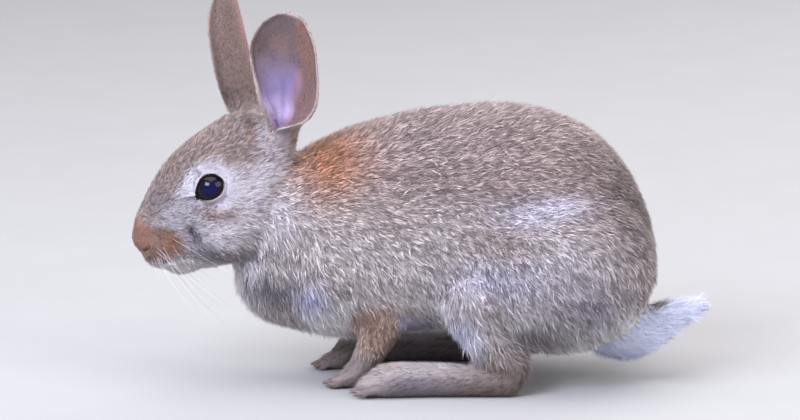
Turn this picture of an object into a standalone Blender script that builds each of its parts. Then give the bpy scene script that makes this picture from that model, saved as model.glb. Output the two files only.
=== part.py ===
"""A young wild rabbit at life size, crouched on all four feet with its ears up, as a museum model.

Metres, +Z up. The rabbit faces -Y, its left side is +X, and its soles stand on Z = 0.
The solids follow the outline of the coat, out to the tips of the fur. The flesh is lofted whole, fused
and smoothed, and then parted into head, neck, trunk and limbs with thin cuts.
"""

import math

import bmesh
import bpy
import numpy as np
from mathutils import Matrix, Vector

MM = 0.001
GAP = 0.3  # clear space between neighbouring solids, in millimetres

# ---- driving dimensions, in millimetres unless said ----
VOXEL = 1.2  # grain of the fused flesh
SMOOTH_PASSES = 6
FLESH_TRIANGLES = 3150
CUTTER_TRIANGLES = 180
TAIL_TRIANGLES = 360
SLICE_POINTS = 28
LIMB_POINTS = 16
EAR_POINTS = 10  # across each face of an ear
CLAW_POINTS = 5

EYE_RADIUS = 8.1
EYE_CENTRE = (14.6, -100, 96.6)  # of the left eye, before the head turns
HEAD_TURN = math.radians(7)  # the nose swings towards the left side
HEAD_PIVOT = (0, -68, 93)

HIND_TRACK = 40  # from the middle plane to each hind foot
HIND_TOE_Y = -31.5
FORE_TRACK = 21
FORE_TOE_Y = -44.5
FORE_STAGGER = 6.5  # the right forefoot stands this far ahead of the left
HIND_FOOT_TOP = 17.8  # the cut between foot and shank
HAUNCH_INNER = 9  # how near the haunches come to the middle plane
WRIST = 14

EAR_WALL = 2.6  # the ear with the short fur on both its faces
EARS = {  # root and tip of the line down the ear's back, and the way the cup opens, degrees ahead of sideways
    "left": ((3.5, -68.5, 114), (25.5, -59.5, 182), 20),
    "right": ((-4.5, -72.5, 114), (-26, -91.5, 190.5), 66),
}
# along the ear from root to tip: the share of its length, its width and the half angle of its curl, degrees
EAR_SHAPE = [
    (0.0, 14, 140),
    (0.08, 14.5, 134),
    (0.18, 18, 112),
    (0.28, 24.5, 88),
    (0.4, 30, 68),
    (0.55, 34, 58),
    (0.68, 35.5, 52),
    (0.8, 33, 46),
    (0.88, 27.5, 40),
    (0.94, 21, 35),
    (0.975, 14, 31),
    (0.99, 8.5, 28),
]

TAIL = [  # y, z, half width and half height
    (80, 24, 8, 9),
    (92, 20, 10, 11),
    (104, 21, 10.8, 13),
    (116.5, 28, 10, 11.2),
    (127, 32.5, 8.4, 8.4),
    (133.5, 35, 6.2, 6.2),
]

NECK_FRONT = ((-56, 117), (-95, 52))  # y, z on the nape and on the throat
NECK_BACK = ((-31, 124), (-76, 30))

SIDES = {"left": 1, "right": -1}

PELT = (0.36, 0.29, 0.25)
PALE_PELT = (0.46, 0.43, 0.42)
EAR_PELT = (0.35, 0.25, 0.24)
EYE_BROWN = (0.02, 0.013, 0.012)
HORN = (0.1, 0.07, 0.06)


# ---- curves and rings ----
def smooth_rows(rows, steps):
    """A Catmull-Rom curve through the rows of a table, with this many steps between two rows."""
    rows = np.array(rows, float)
    padded = np.vstack([2 * rows[0] - rows[1], rows, 2 * rows[-1] - rows[-2]])
    out = []
    for i in range(1, len(padded) - 2):
        a, b, c, d = padded[i - 1 : i + 3]
        for t in np.linspace(0, 1, steps, endpoint=False):
            square_term = 2 * a - 5 * b + 4 * c - d
            cube_term = 3 * b - a - 3 * c + d
            out.append(0.5 * (2 * b + (c - a) * t + square_term * t**2 + cube_term * t**3))
    out.append(rows[-1])
    return np.array(out)


def with_head(point):
    """Where a point of the head is once the head has turned."""
    pivot = Vector(HEAD_PIVOT)
    return pivot + Matrix.Rotation(HEAD_TURN, 3, "Z") @ (Vector(point) - pivot)


def new_object(name, bm):
    """An object of the bmesh, with its faces pointing out."""
    bmesh.ops.recalc_face_normals(bm, faces=bm.faces)
    mesh = bpy.data.meshes.new(name)
    bm.to_mesh(mesh)
    bm.free()
    obj = bpy.data.objects.new(name, mesh)
    bpy.context.scene.collection.objects.link(obj)
    return obj


def skinned(name, rings):
    """A closed form over rings of equal length, in millimetres, with a fan over each end."""
    bm = bmesh.new()
    made = [[bm.verts.new(Vector(p) * MM) for p in ring] for ring in rings]
    count = len(made[0])
    for ring, after in zip(made, made[1:]):
        for i in range(count):
            j = (i + 1) % count
            bm.faces.new((ring[i], ring[j], after[j], after[i]))
    for ring in (made[0], made[-1]):
        middle = bm.verts.new(sum((v.co for v in ring), Vector()) / count)
        for i in range(count):
            bm.faces.new((ring[i], ring[(i + 1) % count], middle))
    return new_object(name, bm)


def slices(name, stations, steps=4, fullness=2.2):
    """A form lofted through upright slices of the middle plane. Each station gives the slice's top y, z,
    its bottom y, z, its half width, and how far up the slice it is widest, from 0 to 1."""
    rings = []
    for top_y, top_z, low_y, low_z, half, level in smooth_rows(stations, steps):
        top, low = Vector((0, top_y, top_z)), Vector((0, low_y, low_z))
        waist = low.lerp(top, level)
        ring = []
        for angle in np.linspace(0, 2 * math.pi, SLICE_POINTS, endpoint=False):
            across = math.copysign(abs(math.sin(angle)) ** (2 / fullness), math.sin(angle))
            up = abs(math.cos(angle)) ** (2 / fullness)
            end = top if math.cos(angle) > 0 else low
            ring.append(waist + (end - waist) * up + Vector((half * across, 0, 0)))
        rings.append(ring)
    return skinned(name, rings)


def limb(name, stations, steps=4, points=LIMB_POINTS):
    """A form lofted along a bent line, with round ends. Each station gives x, y, z, and the half width
    and half height there."""
    rows = smooth_rows(stations, steps)
    centres, halves = rows[:, :3], rows[:, 3:]
    along = np.gradient(centres, axis=0)
    along /= np.linalg.norm(along, axis=1)[:, None]
    sections = list(zip(centres, halves, along))
    for share in (0.5, 0.8, 0.95):
        narrowing = math.sqrt(1 - share**2)
        for edge, sign in ((0, -1), (-1, 1)):
            reach = sign * share * min(halves[edge])
            section = (centres[edge] + reach * along[edge], halves[edge] * narrowing, along[edge])
            sections.insert(0 if edge == 0 else len(sections), section)
    rings = []
    for centre, half, forward in sections:
        across = Vector(forward).cross(Vector((0, 0, 1))).normalized()
        up = across.cross(Vector(forward)).normalized()
        rings.append(
            [
                Vector(centre) + across * half[0] * math.sin(angle) + up * half[1] * math.cos(angle)
                for angle in np.linspace(0, 2 * math.pi, points, endpoint=False)
            ]
        )
    return skinned(name, rings)


def placed(bm, centre, size, tilt=0.0):
    """Scales a unit form to a size in millimetres, tilts it about X by these degrees and moves it there."""
    turn = Matrix.Rotation(math.radians(tilt), 4, "X")
    place = Matrix.Translation(Vector(centre) * MM) @ turn @ Matrix.Diagonal((*(Vector(size) * MM), 1))
    bmesh.ops.transform(bm, matrix=place, verts=bm.verts)
    return bm


def ball(name, centre, radii, tilt=0.0, around=18, high=12):
    bm = bmesh.new()
    bmesh.ops.create_uvsphere(bm, u_segments=around, v_segments=high, radius=1)
    return new_object(name, placed(bm, centre, radii, tilt))


def box(name, centre, size, tilt=0.0):
    bm = bmesh.new()
    bmesh.ops.create_cube(bm, size=1)
    return new_object(name, placed(bm, centre, size, tilt))


# ---- forms of the flesh ----
def trunk_forms():
    """Chest, barrel and rump, highest over the loins, with the shoulders under the coat."""
    forms = [
        slices(
            "form_trunk",
            [
                (-72, 104.5, -90, 56.5, 14, 0.5),
                (-61, 110, -88, 43.5, 22, 0.5),
                (-50, 115.5, -79, 31.5, 28, 0.46),
                (-36, 122, -61, 24, 32, 0.44),
                (-18.5, 127.5, -39.5, 19.8, 35, 0.43),
                (0, 132, -15.5, 21.5, 37.5, 0.43),
                (19.5, 134, 8.5, 23.5, 41, 0.43),
                (37, 135, 30.5, 24.5, 44, 0.44),
                (54.5, 133.5, 52.5, 24, 46, 0.45),
                (71, 128.5, 72, 21.5, 45.5, 0.46),
                (87.5, 118.5, 87.5, 19.5, 42, 0.46),
                (101, 103, 98, 22, 35.5, 0.46),
                (110, 84.5, 106, 28.5, 25.5, 0.47),
                (115, 66.5, 110.5, 39.5, 13, 0.5),
            ],
        )
    ]
    for side in SIDES.values():
        forms.append(ball("form_shoulder", (19.5 * side, -41, 60), (15.5, 24, 32), tilt=-18))
    return forms


def haunch_forms(side, margin=0.0):
    """The folded thigh, the knee in front of it and the shank down to the hock."""
    thigh = Vector((28, 48, 41.5)) + Vector((margin, margin, margin))
    knee = Vector((15, 19.5, 20.5)) + Vector((margin, margin, margin))
    x = HIND_TRACK * side
    return [
        ball("form_thigh", (28.5 * side, 67, 59), thigh, tilt=8),
        ball("form_knee", (35 * side, 29.5, 43), knee, tilt=-25),
        limb(
            "form_shank",
            [
                (0.93 * x, 28, 31, 11 + margin, 12 + margin),
                (0.97 * x, 39, 21, 10 + margin, 12 + margin),
                (x, 45.5, 11, 8 + margin, 9 + margin),
            ],
        ),
    ]


def toes(name, wrist, reach, spread, radii, curve):
    """Four short toes side by side from a foot, the middle ones longest. reach is how far ahead of
    wrist their tips lie, spread is half the distance between the outer ones."""
    forms = []
    for place in (-1, -0.34, 0.34, 1):
        tip = reach - 0.28 * spread * abs(place) ** 3
        x = wrist[0] + spread * place
        forms.append(
            limb(
                name,
                [
                    (wrist[0] + 0.75 * spread * place, wrist[1], wrist[2], radii[0], radii[1]),
                    (x, wrist[1] - 0.5 * tip, wrist[2] - 0.3 * curve, radii[0], 0.95 * radii[1]),
                    (x, wrist[1] - tip + radii[1], wrist[2] - curve, 0.92 * radii[0], 0.75 * radii[1]),
                ],
                steps=3,
                points=12,
            )
        )
    return forms


def hind_foot_forms(side):
    """The long hind foot flat on the ground, with four furred toes."""
    x = HIND_TRACK * side
    foot = limb(
        "form_hind_foot",
        [
            (x, 43.5, 7.8, 8.2, 9.0),
            (x, 26, 7.4, 8.2, 8.4),
            (x, 4, 7.8, 9.0, 8.8),
            (x + side, HIND_TOE_Y + 17, 7.6, 10, 8.6),
            (x + side, HIND_TOE_Y + 10, 5.6, 9.2, 6.0),
        ],
    )
    return [foot] + toes("form_hind_toe", (x + side, HIND_TOE_Y + 17, 7.4), 17, 6.8, (3.4, 4.8), 3.8)


def foreleg_stations(side, margin=0.0):
    """The forearm from inside the chest down to the forefoot."""
    x = FORE_TRACK * side
    ahead = 0 if side > 0 else FORE_STAGGER
    rows = [
        (x, -7 - 0.2 * ahead, 52, 10, 14),
        (x, -16 - 0.5 * ahead, 33, 8.4, 11.5),
        (x, -21 - 0.8 * ahead, 21, 6.8, 8.6),
        (x, -26 - ahead, 11, 6.2, 6.8),
        (x, -32 - ahead, 5.0, 6.6, 5.8),
    ]
    return [(*row[:3], row[3] + margin, row[4] + margin) for row in rows]


def foreleg_forms(side):
    """The forearm under the chest and the small forefoot, with four toes."""
    ahead = 0 if side > 0 else FORE_STAGGER
    wrist = (FORE_TRACK * side, FORE_TOE_Y + 14 - ahead, 5.2)
    forearm = limb("form_forearm", foreleg_stations(side))
    return [forearm] + toes("form_fore_toe", wrist, 14, 5.0, (2.6, 3.6), 3.4)


def head_forms():
    """Skull, muzzle, cheeks, brows and the mounds under the ears, turned with the head."""
    forms = [
        slices(
            "form_skull",
            [
                (-136.5, 76, -135.5, 68, 3.5, 0.5),
                (-135.5, 80, -132, 62, 7, 0.45),
                (-132, 88, -126, 57.5, 9, 0.42),
                (-128, 96.5, -118, 54.5, 11, 0.4),
                (-121.5, 106.5, -108, 54, 13.6, 0.42),
                (-112.5, 115.5, -98, 55, 16.6, 0.44),
                (-101, 123.5, -88.5, 56.5, 19.8, 0.44),
                (-89.5, 130, -78.5, 60, 21.8, 0.46),
                (-78.5, 131, -70, 66.5, 22, 0.5),
                (-68, 125, -62, 75.5, 19, 0.5),
                (-60, 114.5, -58, 83, 13, 0.5),
            ],
        ),
        ball("form_nose", (0, -131.5, 71), (7.2, 5.8, 7.4)),
        ball("form_chin", (0, -113.5, 57.3), (7.4, 9.8, 5.5)),
    ]
    for side in SIDES.values():
        forms += [
            ball("form_whisker_pad", (5.4 * side, -121.8, 65.5), (7.6, 11.5, 9.8), tilt=10),
            ball("form_cheek", (12.6 * side, -89.5, 76.5), (12.2, 20, 18.5)),
            ball("form_brow", (11.4 * side, -99, 103.4), (8.8, 13.5, 6.4), tilt=-32),
            ball("form_ear_mound", (10.5 * side, -70.5, 117), (9, 11, 10)),
        ]
    pivot = Matrix.Translation(Vector(HEAD_PIVOT) * MM)
    for form in forms:
        form.data.transform(pivot @ Matrix.Rotation(HEAD_TURN, 4, "Z") @ pivot.inverted())
    return forms


# ---- fusing and cutting ----
def settled(obj):
    """The object with its modifiers made real."""
    graph = bpy.context.evaluated_depsgraph_get()
    mesh = bpy.data.meshes.new_from_object(obj.evaluated_get(graph), depsgraph=graph)
    obj.modifiers.clear()
    obj.data = mesh
    return obj


def fused(name, forms, triangles):
    """One smooth closed solid over all the forms."""
    bm = bmesh.new()
    for form in forms:
        bm.from_mesh(form.data)
        bpy.data.objects.remove(form)
    obj = new_object(name, bm)
    remesh = obj.modifiers.new("fuse", "REMESH")
    remesh.mode = "VOXEL"
    remesh.voxel_size = VOXEL * MM
    relax = obj.modifiers.new("relax", "SMOOTH")
    relax.factor = 0.5
    relax.iterations = SMOOTH_PASSES
    settled(obj)
    obj.data.calc_loop_triangles()
    thin = obj.modifiers.new("thin", "DECIMATE")
    thin.ratio = triangles / len(obj.data.loop_triangles)
    return settled(obj)


def copy_of(obj, name):
    copy = bpy.data.objects.new(name, obj.data.copy())
    bpy.context.scene.collection.objects.link(copy)
    return copy


def grown(obj, by=GAP):
    """A copy moved outwards along its normals, in millimetres."""
    copy = copy_of(obj, obj.name + "_grown")
    puff = copy.modifiers.new("puff", "DISPLACE")
    puff.strength = by * MM
    puff.mid_level = 0
    return settled(copy)


def combine(obj, cutter, operation):
    change = obj.modifiers.new(operation.lower(), "BOOLEAN")
    change.operation = operation
    change.object = cutter
    settled(obj)
    bpy.data.objects.remove(cutter)
    return obj


def cut_off(body, name, cutter):
    """Takes what the cutter holds from the body as a part of its own, and leaves a thin gap."""
    wide = grown(cutter)
    part = combine(copy_of(body, name), cutter, "INTERSECT")
    combine(body, wide, "DIFFERENCE")
    return part


def ahead_of(upper, lower):
    """A large box ahead of a slanting plane, which passes through two points given as y and z."""
    size = 400
    rise = Vector((0, upper[0] - lower[0], upper[1] - lower[1])).normalized()
    forward = Vector((0, -rise.z, rise.y))
    middle = Vector((0, (upper[0] + lower[0]) / 2, (upper[1] + lower[1]) / 2))
    tilt = -math.degrees(math.atan2(rise.y, rise.z))
    return box("cutter", middle + forward * size / 2, (size, size, size), tilt)


def clear_of(obj, neighbour):
    """Trims the object back to a thin gap from its neighbour."""
    return combine(obj, grown(neighbour), "DIFFERENCE")


# ---- parts made on their own ----
def ear(name, root, tip, turn, side):
    """A cupped ear, curled into a tube at its root and open towards its round tip."""
    root, tip = Vector(root), Vector(tip)
    rise = (tip - root).normalized()
    turn = math.radians(turn)
    opening = Vector((side * math.cos(turn), -math.sin(turn), 0))
    opening = (opening - rise * opening.dot(rise)).normalized()
    across = rise.cross(opening)
    rings = []
    for share, width, curl in EAR_SHAPE:
        curl = math.radians(curl)
        radius = width / 2 / math.sin(min(curl, math.pi / 2))
        middle = root.lerp(tip, share) + opening * radius
        angles = np.linspace(-curl, curl, EAR_POINTS)
        faces = []
        for offset, order in ((EAR_WALL / 2, angles), (-EAR_WALL / 2, angles[::-1])):
            reach = radius + offset
            faces += [middle - opening * reach * math.cos(a) + across * reach * math.sin(a) for a in order]
        rings.append(faces)
    return skinned(name, rings)


def claw(name, base, length, radius):
    """A short curved claw that points forwards and down."""
    rings = []
    for share in (0, 0.5, 0.95):
        centre = Vector(base) + Vector((0, -length * share, -0.28 * length * share**2))
        size = radius * (1 - 0.85 * share)
        rings.append(
            [
                centre + Vector((size * 0.8 * math.sin(a), 0, size * math.cos(a)))
                for a in np.linspace(0, 2 * math.pi, CLAW_POINTS, endpoint=False)
            ]
        )
    return skinned(name, rings)


def claws(body):
    """Sixteen claws, each clear of the toe it grows from."""
    made = []
    kinds = (
        ("hind", HIND_TRACK + 1, HIND_TOE_Y, 0, 6.8),
        ("fore", FORE_TRACK, FORE_TOE_Y, FORE_STAGGER, 5.0),
    )
    for kind, track, toe_y, stagger, spread in kinds:
        for word, side in SIDES.items():
            for number, place in enumerate((-1, -0.34, 0.34, 1)):
                back = 0.28 * spread * abs(place) ** 3
                ahead = stagger if side < 0 else 0
                base = (side * track + spread * place, toe_y + back - ahead + 2.6, 2.8)
                made.append(clear_of(claw(f"claw_{kind}_{word}_{number + 1}", base, 3.8, 1.0), body))
    return made


def set_on_origin(objects):
    """Moves the whole model so that its box is centred over the origin. The soles stay on the floor."""
    corners = [v.co.xy for obj in objects for v in obj.data.vertices]
    low = Vector((min(c.x for c in corners), min(c.y for c in corners), 0))
    high = Vector((max(c.x for c in corners), max(c.y for c in corners), 0))
    for obj in objects:
        obj.data.transform(Matrix.Translation(-(low + high) / 2))


def finish(obj, colour, roughness):
    """Gives the part its own material and smooth shading."""
    material = bpy.data.materials.new(obj.name)
    material.use_nodes = True
    shader = material.node_tree.nodes["Principled BSDF"]
    shader.inputs["Base Color"].default_value = (*colour, 1)
    shader.inputs["Roughness"].default_value = roughness
    shader.inputs["Metallic"].default_value = 0
    obj.data.materials.clear()
    obj.data.materials.append(material)
    obj.data.shade_smooth()
    obj.data.set_sharp_from_angle(angle=math.radians(50))


def main():
    for obj in list(bpy.data.objects):
        bpy.data.objects.remove(obj)

    forms = trunk_forms() + head_forms()
    for side in SIDES.values():
        forms += haunch_forms(side) + hind_foot_forms(side) + foreleg_forms(side)
    body = fused("trunk", forms, FLESH_TRIANGLES)
    combine(body, box("floor", (0, 0, -50), (600, 600, 100)), "DIFFERENCE")

    ears, eyes = [], []
    for word, side in SIDES.items():
        centre = with_head((EYE_CENTRE[0] * side, *EYE_CENTRE[1:]))
        eyes.append(ball(f"eye_{word}", centre, (EYE_RADIUS,) * 3))
        combine(body, grown(eyes[-1]), "DIFFERENCE")
        root, tip, turn = EARS[word]
        ears.append(clear_of(ear(f"ear_{word}", root, tip, turn, side), body))
    tail = fused("tail", [limb("form_tail", [(0, *row) for row in TAIL])], TAIL_TRIANGLES)
    clear_of(tail, body)
    nails = claws(body)

    flesh = [body]
    for word, side in SIDES.items():
        hind_box = box("cutter", (side * (HIND_TRACK + 4), 4, HIND_FOOT_TOP - 50), (29, 104, 100))
        flesh.append(cut_off(body, f"hindfoot_{word}", hind_box))
        haunch = fused("cutter", haunch_forms(side, margin=2.5), CUTTER_TRIANGLES)
        combine(haunch, box("middle", (0, 60, 60), (2 * HAUNCH_INNER, 200, 200)), "DIFFERENCE")
        flesh.append(cut_off(body, f"haunch_{word}", haunch))
        wrist_box = box("cutter", (side * FORE_TRACK, -38, WRIST - 50), (30, 50, 100))
        flesh.append(cut_off(body, f"forefoot_{word}", wrist_box))
        forearm = limb("cutter", foreleg_stations(side, margin=2.5), steps=1, points=12)
        flesh.append(cut_off(body, f"foreleg_{word}", forearm))
    flesh.append(cut_off(body, "head", ahead_of(*NECK_FRONT)))
    flesh.append(cut_off(body, "neck", ahead_of(*NECK_BACK)))

    set_on_origin([*flesh, tail, *ears, *eyes, *nails])
    for obj in flesh:
        finish(obj, PALE_PELT if "foot" in obj.name else PELT, 0.85)
    finish(tail, PALE_PELT, 0.85)
    for obj in ears:
        finish(obj, EAR_PELT, 0.8)
    for obj in eyes:
        finish(obj, EYE_BROWN, 0.1)
    for obj in nails:
        finish(obj, HORN, 0.45)


main()
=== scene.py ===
"""A young wild rabbit at life size, as a still museum model: its skin, coat, eyes, whiskers and claws.

One skin is drawn over all the flesh and lies a coat's depth inside it. The coat is locks of short tufts
that grow from that skin and follow the lie of the hair. Skin and coat carry the same markings.
Lengths are millimetres, times MM where Blender takes metres. The rabbit faces -Y, its left side is +X.
"""

import math

import bmesh
import bpy
import numpy as np
from mathutils import Matrix, Vector
from mathutils.bvhtree import BVHTree


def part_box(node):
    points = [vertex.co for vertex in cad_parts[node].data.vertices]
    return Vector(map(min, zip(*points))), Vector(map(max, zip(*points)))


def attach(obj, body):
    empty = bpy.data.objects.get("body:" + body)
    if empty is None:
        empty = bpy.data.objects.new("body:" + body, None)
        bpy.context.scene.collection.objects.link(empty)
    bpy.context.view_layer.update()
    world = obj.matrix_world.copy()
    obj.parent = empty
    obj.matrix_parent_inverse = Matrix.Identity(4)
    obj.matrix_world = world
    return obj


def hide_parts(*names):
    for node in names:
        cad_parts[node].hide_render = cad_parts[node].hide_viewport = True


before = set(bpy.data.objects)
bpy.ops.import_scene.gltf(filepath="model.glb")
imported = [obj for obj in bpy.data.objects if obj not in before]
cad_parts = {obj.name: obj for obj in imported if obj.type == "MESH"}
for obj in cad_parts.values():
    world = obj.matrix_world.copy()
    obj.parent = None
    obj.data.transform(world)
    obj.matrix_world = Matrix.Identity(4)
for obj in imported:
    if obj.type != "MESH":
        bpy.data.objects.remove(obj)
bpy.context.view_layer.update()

MM = 0.001
random = np.random.default_rng(11)  # a fixed seed, so that every run grows the same coat

SIDES = {"left": 1, "right": -1}
NODES = sorted(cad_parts)
FLESH = [n for n in NODES if not n.startswith(("eye", "claw", "ear"))]
EARS = [n for n in NODES if n.startswith("ear")]
CLAWS = [n for n in NODES if n.startswith("claw")]
COATED = FLESH + EARS
FEET = [number for number, name in enumerate(COATED) if "foot" in name]

# ---- skin ----
SKIN_VOXEL = 1.0  # grain of the fused flesh
SEAM_CLOSING = 0.25  # each solid of flesh grows by this, which closes the cuts between them
SKIN_SMOOTHING = 4  # rounds that relax the fused flesh
COAT_INSET = 0.92  # how far the skin lies inside the solids, as a share of the coat's depth
SKIN_SHADE = 0.86  # shade of the undercoat that the skin stands for
SKIN_OFF_FLOOR = 0.05  # the skin comes no nearer to the floor
TOE_GAP, TOE_GROOVE, TOE_LENGTH = 0.9, 1.9, 15  # width, depth and length of the groove between two toes
FOOT_TOP = 18  # the grooves run on the feet, below this

# ---- ears ----
ROOT_WALL = 3.8  # thickness at the furry root; it thins to EAR_WALL and then to THIN_WALL
EAR_WALL = 2.3
THIN_WALL = 1.7
EAR_HOLLOW = 7  # how far the head's skin sinks inside the root of a cup
EAR_POINTS = 30  # points across each face of the cup
EAR_LINES = {  # root and tip of the line down the ear's back, and the way the cup opens, degrees ahead of sideways
    "left": ((3.5, -69.2, 114), (25.5, -60.0, 182.0), 20),
    "right": ((-4.5, -74.0, 114), (-26, -93.0, 190.2), 66),
}
EAR_FRONT = {"left": -1, "right": 1}  # which side of the cup faces ahead
# along an ear: the share of its length, its width, the half angle of its curl, how far back it sits, and how far
# ahead its opening is turned, in degrees
EAR_SHAPE = [
    (-0.06, 15.6, 174, 3.4, 36),
    (0.08, 13.8, 172, 4.0, 34),
    (0.18, 13.2, 166, 4.6, 31),
    (0.235, 14.8, 155, 5.0, 27),
    (0.28, 17.0, 138, 5.6, 18),
    (0.325, 20.9, 113, 6.4, 7),
    (0.375, 25.4, 94, 6.8, -1),
    (0.47, 31.6, 75, 6.2, 0),
    (0.6, 35.4, 58, 3.4, 0),
    (0.7, 35.8, 52, 1.4, 0),
    (0.79, 33.2, 46, 0.6, 0),
    (0.86, 29.0, 40, 0.0, 0),
    (0.93, 21.0, 35, -0.3, 0),
    (0.97, 13.5, 31, -0.1, 0),
    (0.99, 6.5, 28, 0.0, 0),
]
# how much of that set-back and of that turn an ear has, and how much narrower it is low down
EAR_CHANGES = {"left": (1.0, 1.0, 0.0), "right": (0.1, 0.0, 0.08)}
EAR_TABLE_STEPS = 5  # how finely that table is smoothed

# ---- eyes, claws and whiskers ----
EYE_SEGMENTS, EYE_RINGS = 64, 46
CORNEA_BULGE, CORNEA_SPAN = 0.28, 38  # its rise, and how many degrees it reaches
CLAW_RADIUS, CLAW_FLATNESS, CLAW_TAPER = 0.95, 0.75, 0.88  # at its root, and the share lost by its point
CLAW_ROOT = 1.2  # how far a claw starts inside its toe
WHISKER_RADIUS, WHISKER_TAPER = 0.055, 0.8
WHISKER_LENGTHS, BROW_LENGTH, BRISTLE_LENGTHS = (24, 44), 20, (4, 9)
WHISKER_BEND = 0.35  # how far a whisker bends back and down, as a share of its length
PALE_WHISKERS = 0.55  # share of the long ones that are pale; all bristles and those over the eyes are
BRISTLES = 26  # along the lips on each side

# ---- steps and waves ----
LINE_STEPS = 6  # how finely the lines of the face are smoothed
WAVES = 7  # in a ripple

# ---- studio, in metres ----
FLOOR_REACH = 6
LAMP_AIM = (0, 0, 0.08)
CAMERA_AIM, CAMERA_DISTANCE, CAMERA_ELEVATION = (0, -0.0097, 0.0823), 2.2, math.radians(10.4)
VIEW_WIDTH = 0.384  # what the view spans at the rabbit


# ---------------------------------------------------------------- small helpers
def centre_of(node):
    low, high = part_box(node)
    return (np.array(low) + np.array(high)) / 2 / MM


def unit(v):
    return v / np.maximum(np.linalg.norm(v, axis=-1, keepdims=True), 1e-9)


def along_skin(lie, normals):
    """The part of a lie that runs along the skin."""
    return unit(lie - normals * (lie * normals).sum(1, keepdims=True))


def turned(lie, normals, degrees):
    """A lie turned about the normals of the skin."""
    turn = np.radians(degrees)[:, None]
    return lie * np.cos(turn) + np.cross(normals, lie) * np.sin(turn)


def step(low, high, x):
    """0 below low, 1 above high, and smooth between them."""
    t = np.clip((x - low) / (high - low), 0, 1)
    return t * t * (3 - 2 * t)


def mix(a, b, share):
    """From a to b by a share. Hair colours and points take one share each."""
    share = np.asarray(share)
    if {np.shape(a)[-1:], np.shape(b)[-1:]} & {(3,), (4,)}:
        share = share[..., None]
    return a + (b - a) * share


def blob(points, centre, radii):
    """1 at the centre and falling smoothly to 0 a few radii away. It is the same on both sides of the body."""
    away = (np.abs(points * [1, 0, 0]) + points * [0, 1, 1] - centre) / radii
    return np.exp(-(away**2).sum(-1))


def smooth_rows(rows, steps):
    """A Catmull-Rom curve through the rows of a table, with this many steps between two rows."""
    rows = np.array(rows, float)
    padded = np.vstack([2 * rows[0] - rows[1], rows, 2 * rows[-1] - rows[-2]])
    out = []
    for a, b, c, d in zip(padded, padded[1:], padded[2:], padded[3:]):
        for t in np.linspace(0, 1, steps, endpoint=False):
            square_term, cube_term = 2 * a - 5 * b + 4 * c - d, 3 * b - a - 3 * c + d
            out.append(0.5 * (2 * b + (c - a) * t + square_term * t**2 + cube_term * t**3))
    out.append(rows[-1])
    return np.array(out)


def ripple(points, size):
    """Smooth noise from -1 to 1 in waves about this size."""
    total = 0
    for _ in range(WAVES):
        direction = unit(random.normal(size=3)) * 2 * math.pi / (size * random.uniform(0.7, 1.5))
        total = total + np.sin(points @ direction + random.uniform(0, 2 * math.pi))
    return np.clip(total / math.sqrt(WAVES * 2), -1, 1)


def linear(code):
    """A hex sRGB colour as linear light."""
    parts = [int(code[i : i + 2], 16) / 255 for i in (1, 3, 5)]
    return np.array([p / 12.92 if p <= 0.04045 else ((p + 0.055) / 1.055) ** 2.4 for p in parts])


def in_scene(name, data):
    obj = bpy.data.objects.new(name, data)
    bpy.context.scene.collection.objects.link(obj)
    return obj


def new_piece(name, mesh, slot, material, *replaced):
    """An object that rides on the body and takes this material. Its slot is not used."""
    obj = in_scene(name, mesh)
    mesh.materials.clear()
    mesh.materials.append(material)
    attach(obj, "root")
    if replaced:
        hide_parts(*replaced)


def ring_mesh(name, tubes):
    """One closed mesh over tubes, each a list of rings of points in millimetres, with a fan over each end."""
    bm = bmesh.new()
    for rings in tubes:
        made = [[bm.verts.new(Vector(p) * MM) for p in ring] for ring in rings]
        count = len(made[0])
        for ring, after in zip(made, made[1:]):
            for i in range(count):
                j = (i + 1) % count
                bm.faces.new((ring[i], ring[j], after[j], after[i]))
        for ring in (made[0], made[-1]):
            middle = bm.verts.new(sum((v.co for v in ring), Vector()) / count)
            for i in range(count):
                bm.faces.new((ring[i], ring[(i + 1) % count], middle))
    bmesh.ops.recalc_face_normals(bm, faces=bm.faces)
    mesh = bpy.data.meshes.new(name)
    bm.to_mesh(mesh)
    bm.free()
    mesh.shade_smooth()
    return mesh


def tube(line, radii, points, flatness=1.0):
    """Rings round a line of points, for ring_mesh."""
    line = np.array(line, float)
    along = unit(np.gradient(line, axis=0))
    across = unit(np.cross(along, [0.13, 0.2, 0.97]))
    up = np.cross(across, along)
    angles = np.linspace(0, 2 * math.pi, points, endpoint=False)
    rings = []
    for place, a, b, radius in zip(line, across, up, radii):
        rings.append([place + radius * (a * flatness * math.sin(t) + b * math.cos(t)) for t in angles])
    return rings


def read(items, name, width=1, kind=float):
    """A value of every vertex, edge, face or corner of a mesh, as rows of this width."""
    out = np.empty(len(items) * width, kind)
    items.foreach_get(name, out)
    return out.reshape(-1, width) if width > 1 else out


def move(mesh, points):
    """Puts the mesh's vertices at these points, and gives the normals that they then have."""
    mesh.vertices.foreach_set("co", (points * MM).ravel())
    mesh.update()
    return read(mesh.vertex_normals, "vector", 3)


def spread(values, edges, rounds):
    """Evens values out over a mesh: in each round a vertex moves halfway to the mean of its neighbours."""
    flat = np.array(values, float).reshape(len(values), -1)
    ends = np.concatenate([edges[:, 0], edges[:, 1]])
    others = np.concatenate([edges[:, 1], edges[:, 0]])
    counts = np.maximum(np.bincount(ends, minlength=len(flat)), 1)
    for k in range(flat.shape[1]):
        column = flat[:, k].copy()
        for _ in range(rounds):
            column += 0.5 * (np.bincount(ends, weights=column[others], minlength=len(column)) / counts - column)
        flat[:, k] = column
    return flat.reshape(np.shape(values))


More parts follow.
